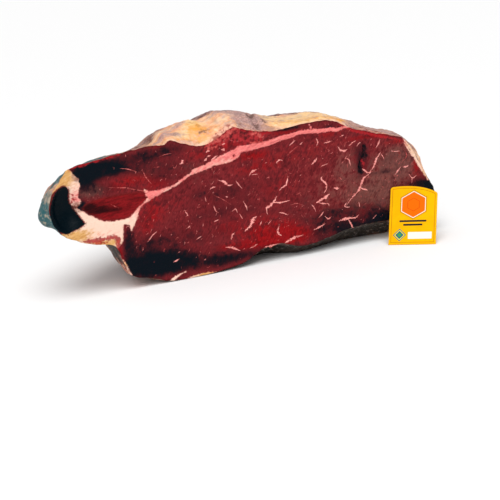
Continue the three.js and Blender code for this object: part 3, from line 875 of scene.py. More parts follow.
def rim_and_spine(half_steps):
    """The rim as one closed ring, and the line inside it that the rings shrink to: midway between
    the rim's two halves, drawn in from both tips."""
    line = smooth_line(RIM_TOP + RIM_BELOW, True, CURVE_STEPS)
    turn = len(RIM_TOP) * CURVE_STEPS
    top = spaced_evenly(line[:turn + 1], half_steps)
    below = spaced_evenly(line[turn:], half_steps)[::-1]
    ring = np.vstack([top, below[1:-1][::-1]])
    ahead = np.roll(ring, -1, axis=0) - np.roll(ring, 1, axis=0)
    ahead /= np.linalg.norm(ahead, axis=1, keepdims=True)
    waves = noise_sum(np.column_stack([ring, np.zeros(len(ring))]), RIM_WAVES)
    ring = ring + np.stack([-ahead[:, 1], ahead[:, 0]], axis=1) * waves[:, None]
    share = np.linspace(SPINE_START, SPINE_END, half_steps + 1) * half_steps
    order = np.arange(half_steps + 1)
    spine = np.stack([
        (np.interp(share, order, top[:, k]) + np.interp(share, order, below[:, k])) / 2 for k in (0, 1)
    ], axis=1)
    return ring, spine


def calmed(ring, steps):
    """Values round a ring, each replaced by the mean of its neighbours so many steps each way."""
    total = sum(np.roll(ring, k, axis=0) for k in range(-steps, steps + 1))
    return total / (2 * steps + 1)


def crease_sum(points, amounts):
    """The sum over the creases of the back of amount·exp(-away²), with away counted in half
    widths across each crease, fading in behind the face."""
    total = np.zeros(points.shape[:-1])
    for (start, end, half_width, _), amount in zip(CREASES, amounts):
        _, away = nearest_on_piece(points[..., 0], points[..., 2], start, end)
        total += amount * np.exp(-(away / half_width)**2)
    return total * ease(points[..., 1] - FACE_Y, *CREASE_FADE)


def crust_relief(points, back, sizes):
    """Fine relief of the crust: long folds, sharp ones of 0.5 - 2·|noise|, small lumps, swellings
    of height·exp(-away²) and one crevice, fading in behind the rim."""
    long_way = points * WRINKLE_STRETCH
    size, height, seed = SHARP_FOLDS
    sharp = height * (0.5 - 2 * np.abs(lattice_noise(long_way, size, seed)))
    folds = noise_sum(long_way, SOFT_FOLDS) + sharp
    rise = (sizes.wrinkle * folds + sizes.pebble * noise_sum(points, PEBBLES)) / MM
    rise += soft_sum(points, CRUST_SWELLINGS)
    start, end, half_width, depth = CREVICE
    _, away = nearest_on_piece(points[..., 0], points[..., 1], start, end)
    crevice = depth * np.exp(-(away / half_width)**2) * ease(points[..., 2], *CREVICE_HEIGHTS)
    return ease(back, *RELIEF_FADE) * rise - ease(back, *CREVICE_FADE) * crevice


def crust_points(rim, calm, core, shape, part, sizes):
    """Points of the crust: a quarter of a squarish oval from the rim to the back of the spine,
    radius = reach·cos(angle)^(2/squareness) + swell·sin(pi·part^power), depth·sin(angle)^(2/squareness)
    behind the face, then pushed from the middle of the piece by the muscles, creases and relief."""
    mixed = rim + (calm - rim) * ease(part, CALM_FROM, CALM_TO)
    outward = mixed - core
    reach = np.linalg.norm(outward, axis=-1, keepdims=True)
    outward = outward / reach
    swell, squareness, power = shape[..., :1], shape[..., 1:2], shape[..., 2:]
    angle = np.minimum(part, 1) * math.pi / 2
    shrink = np.where(part < 1, np.maximum(np.cos(angle), 0)**(2 / squareness), 0)
    radius = reach * shrink + swell * np.sin(math.pi * part**power)
    flat = core + outward * radius
    depth = read_table(DEPTH, flat[..., 0])
    back = depth * np.sin(angle[..., 0])**(2 / squareness[..., 0])
    points = np.stack([flat[..., 0], FACE_Y + back, flat[..., 1]], axis=-1)
    middle = np.stack([
        np.broadcast_to(core[..., 0], depth.shape),
        FACE_Y + MIDDLE_SHARE * depth,
        np.broadcast_to(core[..., 1], depth.shape),
    ], axis=-1)
    push = points - middle
    push /= np.linalg.norm(push, axis=-1, keepdims=True)
    height = soft_sum(points, LUMPS) - crease_sum(points, [depth for *_, depth in CREASES])
    height = ease(back, *MUSCLE_FADE) * height + crust_relief(points, back, sizes)
    return points + push * height[..., None]


def settled(points):
    """Points with what would sink below the floor laid flat on it, with a soft start above it."""
    z = points[..., 2]
    soft = (z + FLOOR_BLEND)**2 / (4 * FLOOR_BLEND)
    flat = np.where(z <= -FLOOR_BLEND, 0, np.where(z < FLOOR_BLEND, soft, z))
    return np.concatenate([points[..., :2], flat[..., None]], axis=-1)


def crust_marks(points):
    """The named values that colour the crust: sums of soft patches counted in millimetres from
    their border, fat along the creases, and how low and how far back the place is."""
    sums = {label: soft_sum(points, patches) for label, patches in CRUST_PATCHES.items()}
    mean, change, size, seed = CREASE_FAT
    uneven = mean + change * lattice_noise(points, size, seed)
    sums["cream"] += crease_sum(points, [1] * len(CREASES)) * uneven
    marks = {
        label: np.clip((total - PATCH_LEVEL) * PATCH_WIDTH, -DISTANCE_LIMIT, DISTANCE_LIMIT)
        for label, total in sums.items()
    }
    marks["low"] = 1 - ease(points[:, 2], *LOW_HEIGHTS)
    marks["behind"] = ease(points[:, 1], *BEHIND_DEPTHS)
    return marks


def meat_piece(sizes):
    """The whole piece: rings over the cut face from the rim to the spine, and rings over the
    crust from the rim to the back of the spine, closed on rows that their two halves share."""
    half = sizes.half_steps
    ring, spine = rim_and_spine(half)
    count = len(ring)
    order = np.arange(count)
    over = order <= half
    core_index = np.where(over, order, count - order)
    core = spine[core_index]
    steps = round(CALM_REACH * count)
    calm = calmed(ring, steps)
    x = ring[:, 0]
    shape = calmed(np.stack([
        np.where(over, read_table(SWELL_TOP, x), read_table(SWELL_BELOW, x)),
        np.where(over, read_table(SQUARENESS_TOP, x), read_table(SQUARENESS_BELOW, x)),
        np.where(over, SWELL_POWER_TOP, SWELL_POWER_BELOW),
    ], axis=1), steps)

    part = (np.arange(sizes.face_rings) / sizes.face_rings)[:, None, None]
    flat = np.vstack([(ring + (core - ring) * part).reshape(-1, 2), spine])
    sink = face_sink(flat[:, 0], flat[:, 1], sizes.ripple / MM)
    face = np.stack([flat[:, 0], FACE_Y + sink, flat[:, 1]], axis=1)

    part = ((np.arange(1, sizes.crust_rings) / sizes.crust_rings)**RING_POWER)[:, None, None]
    crust = crust_points(ring[None], calm[None], core[None], shape[None], part, sizes)
    tops = slice(0, half + 1)
    last = crust_points(ring[None, tops], calm[None, tops], spine[None], shape[None, tops],
                        np.ones((1, 1, 1)), sizes)
    points = settled(np.vstack([face, crust.reshape(-1, 3), last[0]]))

    face_rows = [k * count + order for k in range(sizes.face_rings)]
    face_rows.append(sizes.face_rings * count + core_index)
    start = len(face)
    crust_rows = [order]
    crust_rows += [start + k * count + order for k in range(sizes.crust_rings - 1)]
    crust_rows.append(start + (sizes.crust_rings - 1) * count + core_index)
    face_quads = quad_strips(face_rows)[:, ::-1]
    faces = np.vstack([face_quads, quad_strips(crust_rows)])

    marks = face_marks(points[:, 0], points[:, 2])
    inset = np.linalg.norm(core - ring, axis=1)
    marks["inset"] = np.concatenate([
        (np.arange(sizes.face_rings)[:, None] / sizes.face_rings * inset).ravel(),
        np.full(half + 1, FACE_INSET), np.zeros(len(points) - len(face)),
    ])
    sections = np.concatenate([face[None, :count], crust])
    steps_out = np.linalg.norm(np.diff(sections, axis=0), axis=-1)
    marks["lip"] = np.concatenate([
        np.zeros(len(face)), np.cumsum(steps_out, axis=0).ravel(), np.full(half + 1, BACK_LIP),
    ])
    marks |= crust_marks(points)
    piece = mesh_object("meat", points, faces, marks)
    slots = (np.arange(len(faces)) >= len(face_quads)).astype(int)
    piece.data.polygons.foreach_set("material_index", slots)
    return piece


def fleck_tube(line, samples, rng, blush, weight):
    """One fleck: a six-sided section carried along a line on the face, its half width times
    sin(pi·share)^0.45 and a little chance. Each row holds x, z, the rise above the face, how fat
    the place is and how red."""
    path = spaced_evenly(line, samples)
    share = np.linspace(0, 1, samples + 1)
    width = path[:, 2] * np.maximum(np.sin(math.pi * share), FLECK_LEAST)**FLECK_TAPER
    chance = np.convolve(rng.uniform(-1, 1, samples + 3), np.ones(3) / 3, "valid")
    width = width * (1 + FLECK_UNEVEN * chance)
    along = np.gradient(path[:, :2], axis=0)
    along /= np.linalg.norm(along, axis=1, keepdims=True)
    side = np.stack([-along[:, 1], along[:, 0]], axis=1)
    sway = FLECK_SWAY * rng.uniform(-1, 1, samples + 1) * path[:, 2].max()
    middle = path[:, :2] + side * sway[:, None]
    section = np.array(FLECK_SECTION)
    flat = middle[:, None] + side[:, None] * (section[:, 0] * width[:, None])[..., None]
    lift = section[:, 1] * np.minimum(1, width[:, None] / FLECK_FULL_WIDTH)
    fleck = np.broadcast_to(section[:, 2] * weight, lift.shape)
    rows = [flat[..., 0], flat[..., 1], lift, fleck, np.full(lift.shape, blush)]
    return np.stack(rows, axis=-1).reshape(-1, len(rows))


def tube_faces(samples, first):
    """Quads round a carried section of six points, with two more across each end."""
    sides = len(FLECK_SECTION)
    rows = first + np.arange(samples + 1)[:, None] * sides + np.arange(sides)
    end = first + samples * sides
    caps = np.array([
        [first, first + 5, first + 4, first + 1], [first + 1, first + 4, first + 3, first + 2],
        [end + 1, end + 4, end + 5, end], [end + 2, end + 3, end + 4, end + 1],
    ])
    return np.vstack([quad_strips(rows), caps])


def small_fleck_lines(count, rng):
    """Short lines strewn over the face, most of them leaning the same way, away from the rim,
    the fat and the dish."""
    lines = []
    spots = rng.uniform(*SMALL_FLECK_FIELD, (count * SMALL_FLECK_TRIES, 2))
    x, z = spots.T
    clear = inside_area(x, z, rim_outline()) > CLEAR_OF_RIM
    clear &= fat_on_face(x, z) < -CLEAR_OF_FAT
    clear &= inside_area(x, z, face_place(DISH)) < -CLEAR_OF_DISH
    clear &= inside_area(x, z, face_place(OVAL_MUSCLE)) < -CLEAR_OF_OVAL
    clear &= rng.uniform(0, 1, len(spots)) > THIN_IN_DARK * glow(x, z, DARK_PATCHES)
    for spot in spots[clear][:count]:
        lean = math.radians(SMALL_FLECK_LEAN + rng.normal(0, SMALL_FLECK_STRAY))
        length = rng.uniform(*SMALL_FLECK_LENGTHS) * rng.uniform(*SMALL_FLECK_SHARES)
        width = rng.uniform(*SMALL_FLECK_WIDTHS)
        reach = np.array([math.cos(lean), math.sin(lean)]) * length / 2
        bend = np.array([-reach[1], reach[0]]) * rng.uniform(*SMALL_FLECK_BENDS)
        first, last = np.multiply(SMALL_FLECK_ENDS, width)
        lines.append(np.array([[*(spot - reach), first], [*(spot + bend), width], [*(spot + reach), last]]))
    return lines


def marbling_piece(sizes):
    """Flecks of fat that lie in the cut face: the long ones listed, the small ones strewn."""
    rng = np.random.default_rng(FLECK_SEED)
    parts = []
    for flecks, redness, weight, swell in FLECK_KINDS:
        for knots in flecks:
            line = smooth_line(face_stroke(knots) * (1, 1, swell), False, FLECK_STEPS)
            length = np.linalg.norm(np.diff(line[:, :2], axis=0), axis=1).sum()
            samples = max(FLECK_FEWEST, round(length / FLECK_SPACING))
            blush = redness + rng.uniform(0, FLECK_BLUSH)
            parts.append((fleck_tube(line, samples, rng, blush, weight), samples))
    for line in small_fleck_lines(sizes.small_flecks, rng):
        bent = smooth_line(line, False, SMALL_FLECK_STEPS)
        length = np.linalg.norm(line[0, :2] - line[2, :2])
        samples = max(SMALL_FLECK_FEWEST, round(length / SMALL_FLECK_SPACING))
        blush, weight = rng.uniform(*SMALL_FLECK_REDNESS), rng.uniform(*SMALL_FLECK_FATNESS)
        parts.append((fleck_tube(bent, samples, rng, blush, weight), samples))
    faces, first = [], 0
    for rows, samples in parts:
        faces.append(tube_faces(samples, first))
        first += len(rows)
    x, z, lift, fleck, blush = np.vstack([rows for rows, _ in parts]).T
    points = np.column_stack([x, FACE_Y + face_sink(x, z, sizes.ripple / MM) - lift, z])
    marks = face_marks(x, z)
    marks |= {"fleck": fleck, "blush": blush, "inset": np.full(len(points), FLECK_INSET)}
    return mesh_object("marbling", points, np.vstack(faces), marks)


def card_top(across):
    """Height of the card's top edge above a place across its foot: a quadratic arch from the left
    corner to the lower right one, found by solving the arch for its parameter, and a round fall
    at each corner."""
    start, peak, end = CARD_CORNER, CARD_ARCH_AT * CARD_WIDTH, CARD_WIDTH - CARD_CORNER
    second = start - 2 * peak + end
    first = 2 * (peak - start)
    inside = np.clip(across, start, end)
    root = np.sqrt(first**2 - 4 * second * (start - inside))
    t = (root - first) / (2 * second)
    right_top = CARD_HEIGHT - CARD_DROP
    arch = CARD_HEIGHT * (1 - t)**2 + 2 * (CARD_HEIGHT + CARD_RISE) * t * (1 - t) + right_top * t**2
    near = np.minimum(across, CARD_WIDTH - across)
    fall = CARD_CORNER * (1 - np.sqrt(np.clip(near / CARD_CORNER, 0, 1)))
    return arch - fall


def six_sided(x, y, reach):
    """Distance into a six-sided shape with two upright sides: its reach less the greatest of the
    distances along its three directions."""
    angles = np.radians([0, 60, 120])
    spread = [np.abs(x * math.cos(a) + y * math.sin(a)) for a in angles]
    return reach - np.max(spread, axis=0)


def box_inside(x, y, box, corner):
    """Distance into a box with round corners, given by its middle, half width and half height."""
    middle_x, middle_y, half_width, half_height = box
    dx = np.abs(x - middle_x) - half_width + corner
    dy = np.abs(y - middle_y) - half_height + corner
    outside = np.hypot(np.maximum(dx, 0), np.maximum(dy, 0))
    return corner - outside - np.minimum(np.maximum(dx, dy), 0)


def card_marks(x, y):
    """The named values that print the card: distances into its line, badge, bars, field and mark."""
    edge = np.minimum.reduce([x, CARD_WIDTH - x, y, card_top(x) - y])
    return {
        "line": BORDER_HALF - np.abs(edge - BORDER_INSET),
        "badge": six_sided(x - BADGE_MIDDLE[0], y - BADGE_MIDDLE[1], BADGE_REACH),
        "bars": np.max([box_inside(x, y, bar, BAR_CORNER) for bar in BARS], axis=0),
        "field": box_inside(x, y, FIELD, FIELD_CORNER),
        "mark": MARK_REACH - np.abs(x - MARK_MIDDLE[0]) - np.abs(y - MARK_MIDDLE[1]),
        "worn": edge,
    }


def card_piece():
    """The card: a grid stretched to its outline, in front and behind, joined round its edge and
    leaned back until its top left corner all but touches the cut face."""
    columns = round(CARD_WIDTH / CARD_STEP) + 1
    rows = round(CARD_HEIGHT / CARD_STEP) + 1
    across = np.linspace(0, CARD_WIDTH, columns)[None] * np.ones((rows, 1))
    up = np.linspace(0, 1, rows)[:, None] * card_top(across)
    print_place = np.stack([across, up, np.zeros(across.shape)], axis=-1).reshape(-1, 3)
    front = print_place + np.outer(print_place[:, 1] / CARD_HEIGHT, (CARD_SKEW, 0, 0))
    flat_x, flat_y, flat_z = np.vstack([front, front - (0, 0, CARD_THICK)]).T
    turn = math.radians(CARD_TURN)
    room = -CARD_FOOT[1] - CARD_GAP - CARD_SKEW * math.sin(turn)
    lean = math.asin((room / math.cos(turn) - CARD_THICK) / (CARD_HEIGHT - CARD_CORNER))
    tilt = math.pi / 2 - lean
    y = flat_y * math.cos(tilt) - flat_z * math.sin(tilt)
    z = flat_y * math.sin(tilt) + flat_z * math.cos(tilt)
    points = np.stack([
        CARD_FOOT[0] + flat_x * math.cos(turn) - y * math.sin(turn),
        FACE_Y + CARD_FOOT[1] + flat_x * math.sin(turn) + y * math.cos(turn),
        CARD_THICK * math.sin(lean) + z,
    ], axis=1)

    index = np.arange(rows * columns).reshape(rows, columns)
    quads = np.stack([index[:-1, :-1], index[:-1, 1:], index[1:, 1:], index[1:, :-1]], axis=-1).reshape(-1, 4)
    loop = np.concatenate([index[0, :-1], index[:-1, -1], index[-1, :0:-1], index[:0:-1, 0]])
    after = np.roll(loop, -1)
    behind = rows * columns
    edges = np.stack([loop, loop + behind, after + behind, after], axis=-1)
    faces = np.vstack([quads, quads[:, ::-1] + behind, edges])
    marks = {label: np.concatenate([value, np.full(behind, -DISTANCE_LIMIT)])
             for label, value in card_marks(print_place[:, 0], print_place[:, 1]).items()}
    marks["worn"] = np.tile(marks["worn"][:behind], 2)
    piece = mesh_object("card", points, faces, marks)
    piece.data.polygons.foreach_set("use_smooth", np.arange(len(faces)) < 2 * len(quads))
    return piece


class Tint:
    """Fixed tints between and over the colours that can be set, as linear red, green and blue."""
    coarse_shade = (0.50, 0.42, 0.46)
    mottle_shade = (0.42, 0.36, 0.42)
    fibre_shade = (0.40, 0.36, 0.42)
    rim_shade = (0.25, 0.2, 0.22)
    bright_fibre = (0.40, 0.040, 0.040)
    plum = (0.020, 0.0045, 0.008)
    shred_dark = (0.075, 0.010, 0.013)
    shred_bright = (0.48, 0.032, 0.038)
    raw = (0.46, 0.016, 0.022)
    salmon_dark = (0.42, 0.030, 0.032)
    salmon_pale = (0.74, 0.140, 0.120)
    oval_deep = (0.130, 0.004, 0.006)
    oval_red = (0.310, 0.010, 0.013)
    oval_shade = (0.45, 0.4, 0.4)
    oval_core = (0.014, 0.001, 0.002)
    oval_rim = (0.14, 0.014, 0.013)
    # Painted shade in the gash.
    gash = (0.002, 0.004, 0.007)
    crumbs = (0.10, 0.024, 0.016)
    dish = (0.0, 0.004, 0.007)
    ochre = (0.50, 0.19, 0.045)
    fat_edge = (0.62, 0.12, 0.11)
    fat_vein = (0.42, 0.06, 0.06)
    fat_speck = (0.70, 0.36, 0.26)
    dull_fat = (0.20, 0.060, 0.042)
    blood_dark = (0.26, 0.006, 0.012)
    blood_bright = (0.50, 0.025, 0.030)
    fleck_pale = (0.98, 0.40, 0.36)
    fleck_red = (0.44, 0.052, 0.050)
    fleck_edge = (0.50, 0.070, 0.064)
    hide_red = (0.165, 0.052, 0.034)
    hide_shade = (0.55, 0.42, 0.38)
    suet_pale = (0.97, 0.66, 0.42)
    suet_dark = (0.66, 0.30, 0.225)
    suet_streak = (0.80, 0.38, 0.14)
    suet_pore = (0.98, 0.74, 0.52)
    wax = (0.99, 0.66, 0.31)
    ash_dark = (0.17, 0.17, 0.13)
    ash_pale = (0.42, 0.35, 0.27)
    bloom_pale = (0.58, 0.34, 0.31)
    slate_spot = (0.30, 0.28, 0.22)
    lip_dark = (0.80, 0.40, 0.27)
    lip_pale = (0.90, 0.60, 0.44)
    flesh_dark = (0.30, 0.035, 0.030)
    flesh_pale = (0.82, 0.42, 0.30)
    # Painted shade for the crevice and creases of the crust.
    crease = (0.120, 0.052, 0.036)
    dust = (0.66, 0.56, 0.50)
    ground_deep = (0.88, 0.38, 0.001)
    worn = (0.70, 0.36, 0.02)
    badge_ring = (0.62, 0.07, 0.002)
    mark_yellow = (0.85, 0.72, 0.02)


class Nodes:
    """Adds nodes to one tree and joins them: an input is a socket, a number or a colour."""

    def __init__(self, tree):
        self.tree = tree
        self.column = 0

    def add(self, kind, inputs=(), **settings):
        node = self.tree.nodes.new(kind)
        self.column += 1
        node.location = (self.column % 12 * 180, -(self.column // 12) * 260)
        for name, value in settings.items():
            setattr(node, name, value)
        for name, value in dict(inputs).items():
            self.put(node.inputs[name], value)
        return node

    def put(self, socket, value):
        if isinstance(value, bpy.types.NodeSocket):
            self.tree.links.new(value, socket)
        elif socket.type == "RGBA":
            socket.default_value = (*value[:3], 1)
        else:
            socket.default_value = value

    def maths(self, operation, first, second=0.0):
        return self.add("ShaderNodeMath", {0: first, 1: second}, operation=operation).outputs[0]

    def plus(self, *terms):
        return reduce(partial(self.maths, "ADD"), terms)

    def times(self, *terms):
        return reduce(partial(self.maths, "MULTIPLY"), terms)

    def less(self, first, second):
        return self.maths("SUBTRACT", first, second)

    def spread(self, value, low, high, start=0.0, end=1.0):
        """A value that passes smoothly from start to end while another goes from low to high."""
        inputs = {"Value": value, "From Min": low, "From Max": high, "To Min": start, "To Max": end}
        return self.add("ShaderNodeMapRange", inputs, interpolation_type="SMOOTHSTEP").outputs["Result"]

    def group(self, tree, **inputs):
        inputs = {name.title(): value for name, value in inputs.items()}
        return self.add("ShaderNodeGroup", inputs, node_tree=tree).outputs[0]


def new_group(name, inputs, output):
    """An empty shader node group with named inputs, each a socket kind and a default, and one
    value as its output."""
    tree = bpy.data.node_groups.new(name, "ShaderNodeTree")
    for label, (kind, default) in inputs.items():
        socket = tree.interface.new_socket(label, in_out="INPUT", socket_type=kind)
        if default is not None:
            socket.default_value = default
    tree.interface.new_socket(output, in_out="OUTPUT", socket_type="NodeSocketFloat")
    nodes = Nodes(tree)
    given = nodes.add("NodeGroupInput").outputs
    return nodes, given, nodes.add("NodeGroupOutput").inputs[output]


def grain_group():
    """Uneven grain: noise at one size over the place, spread to its full range."""
    nodes, given, result = new_group("Grain", {
        "Place": ("NodeSocketVector", None),
        "Size": ("NodeSocketFloat", 2.0),
        "Detail": ("NodeSocketFloat", 4.0),
    }, "Value")
    noise = nodes.add("ShaderNodeTexNoise", {
        "Vector": given["Place"], "Scale": nodes.maths("DIVIDE", 1.0, given["Size"]),
        "Detail": given["Detail"], "Roughness": 0.6,
    })
    nodes.put(result, nodes.spread(noise.outputs["Fac"], 0.3, 0.7))
    return nodes.tree


def ragged_group(grain):
    """A mask from a distance: its border wanders by the ragged amount and is a little soft."""
    nodes, given, result = new_group("Ragged mask", {
        "Place": ("NodeSocketVector", None),
        "Distance": ("NodeSocketFloat", 0.0),
        "Ragged": ("NodeSocketFloat", 0.6),
        "Size": ("NodeSocketFloat", 2.0),
        "Soft": ("NodeSocketFloat", 0.3),
    }, "Mask")
    wander = nodes.group(grain, place=given["Place"], size=given["Size"], detail=3.0)
    wander = nodes.times(nodes.less(wander, 0.5), given["Ragged"], 2.0)
    moved = nodes.plus(given["Distance"], wander)
    nodes.put(result, nodes.spread(moved, nodes.times(given["Soft"], -1.0), given["Soft"]))
    return nodes.tree


def shared_groups():
    """The grain and ragged-mask groups, made once."""
    groups = bpy.data.node_groups
    grain = groups.get("Grain") or grain_group()
    return grain, groups.get("Ragged mask") or ragged_group(grain)


class Look(Nodes):
    """The nodes of one new material, with its place in millimetres and the shared groups."""

    def __init__(self, name):
        self.material = bpy.data.materials.new(name)
        self.material.use_nodes = True
        super().__init__(self.material.node_tree)
        self.grain_tree, self.ragged_tree = shared_groups()
        scaled = self.add("ShaderNodeVectorMath", {"Scale": 1 / MM}, operation="SCALE")
        self.put(scaled.inputs[0], self.add("ShaderNodeTexCoord").outputs["Object"])
        self.place = scaled.outputs[0]

    def mark(self, name):
        """One of the mesh's named values."""
        return self.add("ShaderNodeAttribute", attribute_name=name).outputs["Fac"]

    def grain(self, size, detail=5.0, lean=0, stretch=1.0):
        """The grain at one size, drawn out so many times along a direction of the cut face that
        leans so many degrees up from the right."""
        place = self.place
        if stretch != 1:
            inputs = {"Vector": place, "Rotation": (0, -math.radians(lean), 0), "Scale": (stretch, 1, 1)}
            place = self.add("ShaderNodeMapping", inputs, vector_type="TEXTURE").outputs[0]
        return self.group(self.grain_tree, place=place, size=size, detail=detail)

    def mask(self, distance, ragged, size, soft):
        """The ragged mask of a distance, given as a socket or as the name of one of the marks."""
        if isinstance(distance, str):
            distance = self.mark(distance)
        return self.group(
            self.ragged_tree, place=self.place, distance=distance, ragged=ragged, size=size, soft=soft)

    def waver(self, value, amount):
        """A value from 0 to 1 turned to one from -amount to amount."""
        return self.spread(value, 0, 1, -amount, amount)

    def blend(self, share, first, second, how="MIX"):
        node = self.add("ShaderNodeMix", data_type="RGBA", blend_type=how)
        self.put(node.inputs["Factor"], share)
        self.put(node.inputs[6], first)
        self.put(node.inputs[7], second)
        return node.outputs[2]

    def lay(self, tone, tint, cover, strength=1.0):
        """The tone with a tint laid over it where it covers."""
        if strength != 1:
            cover = self.times(cover, strength)
        return self.blend(cover, tone, tint)

    def darken(self, tone, tint, value, high, share, low=0.0):
        """The tone multiplied by a tint, by a share where the value is low and by none where it
        is high."""
        return self.blend(self.spread(value, low, high, share, 0), tone, tint, "MULTIPLY")

    def finish(self, tone, rough, height, specular, strength, depth):
        """The material, once its shader has the colour, the roughness, the gloss and a bump so
        many millimetres deep."""
        inputs = {"Height": height, "Strength": strength, "Distance": depth * MM}
        bump = self.add("ShaderNodeBump", inputs)
        shader = self.tree.nodes["Principled BSDF"]
        self.put(shader.inputs["Base Color"], tone)
        self.put(shader.inputs["Roughness"], rough)
        self.put(shader.inputs["Specular IOR Level"], specular)
        self.put(shader.inputs["Normal"], bump.outputs[0])
        return self.material


def lean_tones(look, colours):
    """Lean meat: its own tone with brown and vivid areas, mottle and fibres, dark areas that pass
    from plum to blue-black, the torn edge, and the raw and salmon-red flesh near the rim. It comes
    with the grains and the fibres."""
    fine, mottle, coarse = (look.grain(size) for size in (1.0, 3.6, 13.0))
    fibre = look.grain(1.3, lean=58, stretch=3.4)
    uneven = look.plus(look.waver(mottle, 0.12), look.waver(coarse, 0.2), look.waver(fibre, 0.08))
    brown = look.spread(look.plus(look.mark("brown"), uneven), 0.05, 1.0)
    vivid = look.spread(look.plus(look.mark("vivid"), uneven), 0.12, 0.95)
    tone = look.lay(look.lay(colours.lean, colours.brown, brown), colours.vivid, vivid)
    tone = look.darken(tone, Tint.coarse_shade, coarse, 0.9, 0.5)
    tone = look.darken(tone, Tint.mottle_shade, mottle, 0.8, 0.6)
    tone = look.darken(tone, Tint.fibre_shade, fibre, 0.7, 0.6)
    bright = look.times(look.spread(fibre, 0.6, 1), look.spread(fine, 0.3, 1, 0, 0.45))
    tone = look.lay(tone, Tint.bright_fibre, bright)

    # Plum, then blue-black where the dark mark is strong: the lean's own dark colour, and painted shade where
    # the dark patches stand for shade.
    depth = look.plus(look.mark("dark"), look.times(uneven, 0.8))
    tone = look.lay(tone, Tint.plum, look.spread(depth, 0.02, 0.62))
    tone = look.lay(tone, colours.navy, look.spread(depth, 0.45, 0.95))

    shred = look.times(look.grain(5.0, 6.0, lean=74, stretch=1.7), 0.55)
    shred = look.spread(look.plus(shred, look.times(mottle, 0.45)), 0.2, 0.8)
    shreds = look.blend(shred, Tint.shred_dark, Tint.shred_bright)
    tone = look.lay(tone, shreds, look.mark("torn"), 0.85)
    tone = look.lay(tone, Tint.raw, look.mask("raw", 0.9, 2.8, 0.8), 0.8)
    tone = look.darken(tone, Tint.rim_shade, look.mark("inset"), 2.2, 0.35)
    fleshy = look.blend(mottle, Tint.salmon_dark, Tint.salmon_pale)
    tone = look.lay(tone, fleshy, look.mask("salmon", 2.0, 2.4, 1.4), 0.85)
    return tone, fine, mottle, fibre


def oval_tones(look, tone):
    """The oval muscle: deep red, drawn out along its length, with a near-black core."""
    streak = look.grain(2.4, 3.0, lean=9, stretch=6.0)
    flesh = look.blend(streak, Tint.oval_deep, Tint.oval_red)
    flesh = look.darken(flesh, Tint.oval_shade, look.grain(1.0, lean=9, stretch=3.0), 0.7, 0.5)
    deep = look.plus(look.mark("core"), look.waver(streak, 0.25))
    flesh = look.lay(flesh, Tint.oval_core, look.spread(deep, 0.1, 0.9, 0, 0.95))
    flesh = look.lay(flesh, Tint.oval_rim, look.spread(look.mark("oval"), 0, 2.4, 0.45, 0))
    return look.lay(tone, flesh, look.mask("oval", 0.5, 3.0, 1.1))


def fat_tones(look, tone, colours, fine, mottle):
    """Fat: white, pink in the seams and yellow near the rim, streaked, with pinker borders, and the
    blood-red streaks over it."""
    streak = look.grain(1.5, 4.0, lean=20, stretch=4.0)
    uneven = look.plus(look.waver(mottle, 0.14), look.waver(streak, 0.12))
    pink = look.spread(look.plus(look.mark("pink"), uneven), 0.1, 1)
    yellow = look.spread(look.plus(look.mark("yellow"), uneven), 0.12, 1)
    suet = look.blend(pink, colours.white_fat, colours.pink_fat)
    suet = look.lay(suet, colours.yellow_fat, yellow)
    suet = look.lay(suet, Tint.ochre, look.times(yellow, look.spread(streak, 0.4, 0.9, 0, 0.42)))
    suet = look.lay(suet, Tint.fat_edge, look.spread(look.mark("fat"), 0, 0.9, 0.45, 0))
    veins = look.times(look.spread(streak, 0.5, 0.95, 0, 0.4), look.mark("pink"))
    suet = look.lay(suet, Tint.fat_vein, veins)
    suet = look.lay(suet, Tint.fat_speck, look.spread(fine, 0.5, 1, 0, 0.1))
    # The fat is dulled under strong dark patches too, which carries their painted shade onto it.
    dull = look.times(look.spread(look.mark("dark"), 0.6, 1), look.spread(mottle, 0.1, 0.9, 0.5, 1))
    suet = look.lay(suet, Tint.dull_fat, dull)
    distance = look.plus(look.mark("fat"), look.waver(fine, 0.22))
    tone = look.lay(tone, suet, look.mask(distance, 0.5, 2.2, 0.4))
    flesh = look.blend(mottle, Tint.blood_dark, Tint.blood_bright)
    return look.lay(tone, flesh, look.mask("blood", 1.0, 2.0, 0.8), 0.9)


def fleck_tones(look, tone, fine, mottle):
    """The flecks: pale fat that is redder at its borders and broken up by the grain."""
    presence = look.mark("fleck")
    amount = look.plus(presence, look.plus(look.waver(fine, 0.45), look.waver(mottle, 0.25)))
    pale = look.blend(look.mark("blush"), Tint.fleck_pale, Tint.fleck_red)
    pale = look.blend(look.spread(amount, 0.45, 1.1), Tint.fleck_edge, pale)
    return look.lay(tone, pale, look.times(look.spread(amount, 0.1, 0.7), look.spread(presence, 0.05, 0.5)))


def cut_meat_material(colours):
    """The cut face: lean meat, the oval muscle, fat with soft borders, the gash with painted shade in
    it, the dark dish, and the flecks."""
    look = Look("cut meat")
    tone, fine, mottle, fibre = lean_tones(look, colours)
    tone = oval_tones(look, tone)
    # Painted shade: the near-black colour in the gash.
    tone = look.lay(tone, Tint.gash, look.mask("gash", 1.6, 3.0, 1.4), 0.95)
    tone = fat_tones(look, tone, colours, fine, mottle)
    crumbs = look.times(look.spread(look.mark("dish"), -2.2, -0.4), look.spread(fine, 0.35, 0.75, 0, 0.8))
    tone = look.lay(tone, Tint.crumbs, crumbs)
    dish = look.mask("dish", 0.5, 2.2, 0.3)
    tone = look.lay(tone, Tint.dish, dish)
    tone = fleck_tones(look, tone, fine, mottle)
    rough = look.plus(look.spread(fine, 0, 1, 0.34, 0.58), look.times(dish, -0.12))
    height = look.plus(look.times(fine, 0.5), look.times(fibre, 0.8), mottle)
    height = look.times(height, look.less(1.0, look.times(dish, 0.7)))
    return look.finish(tone, rough, height, specular=0.06, strength=0.5, depth=0.35)


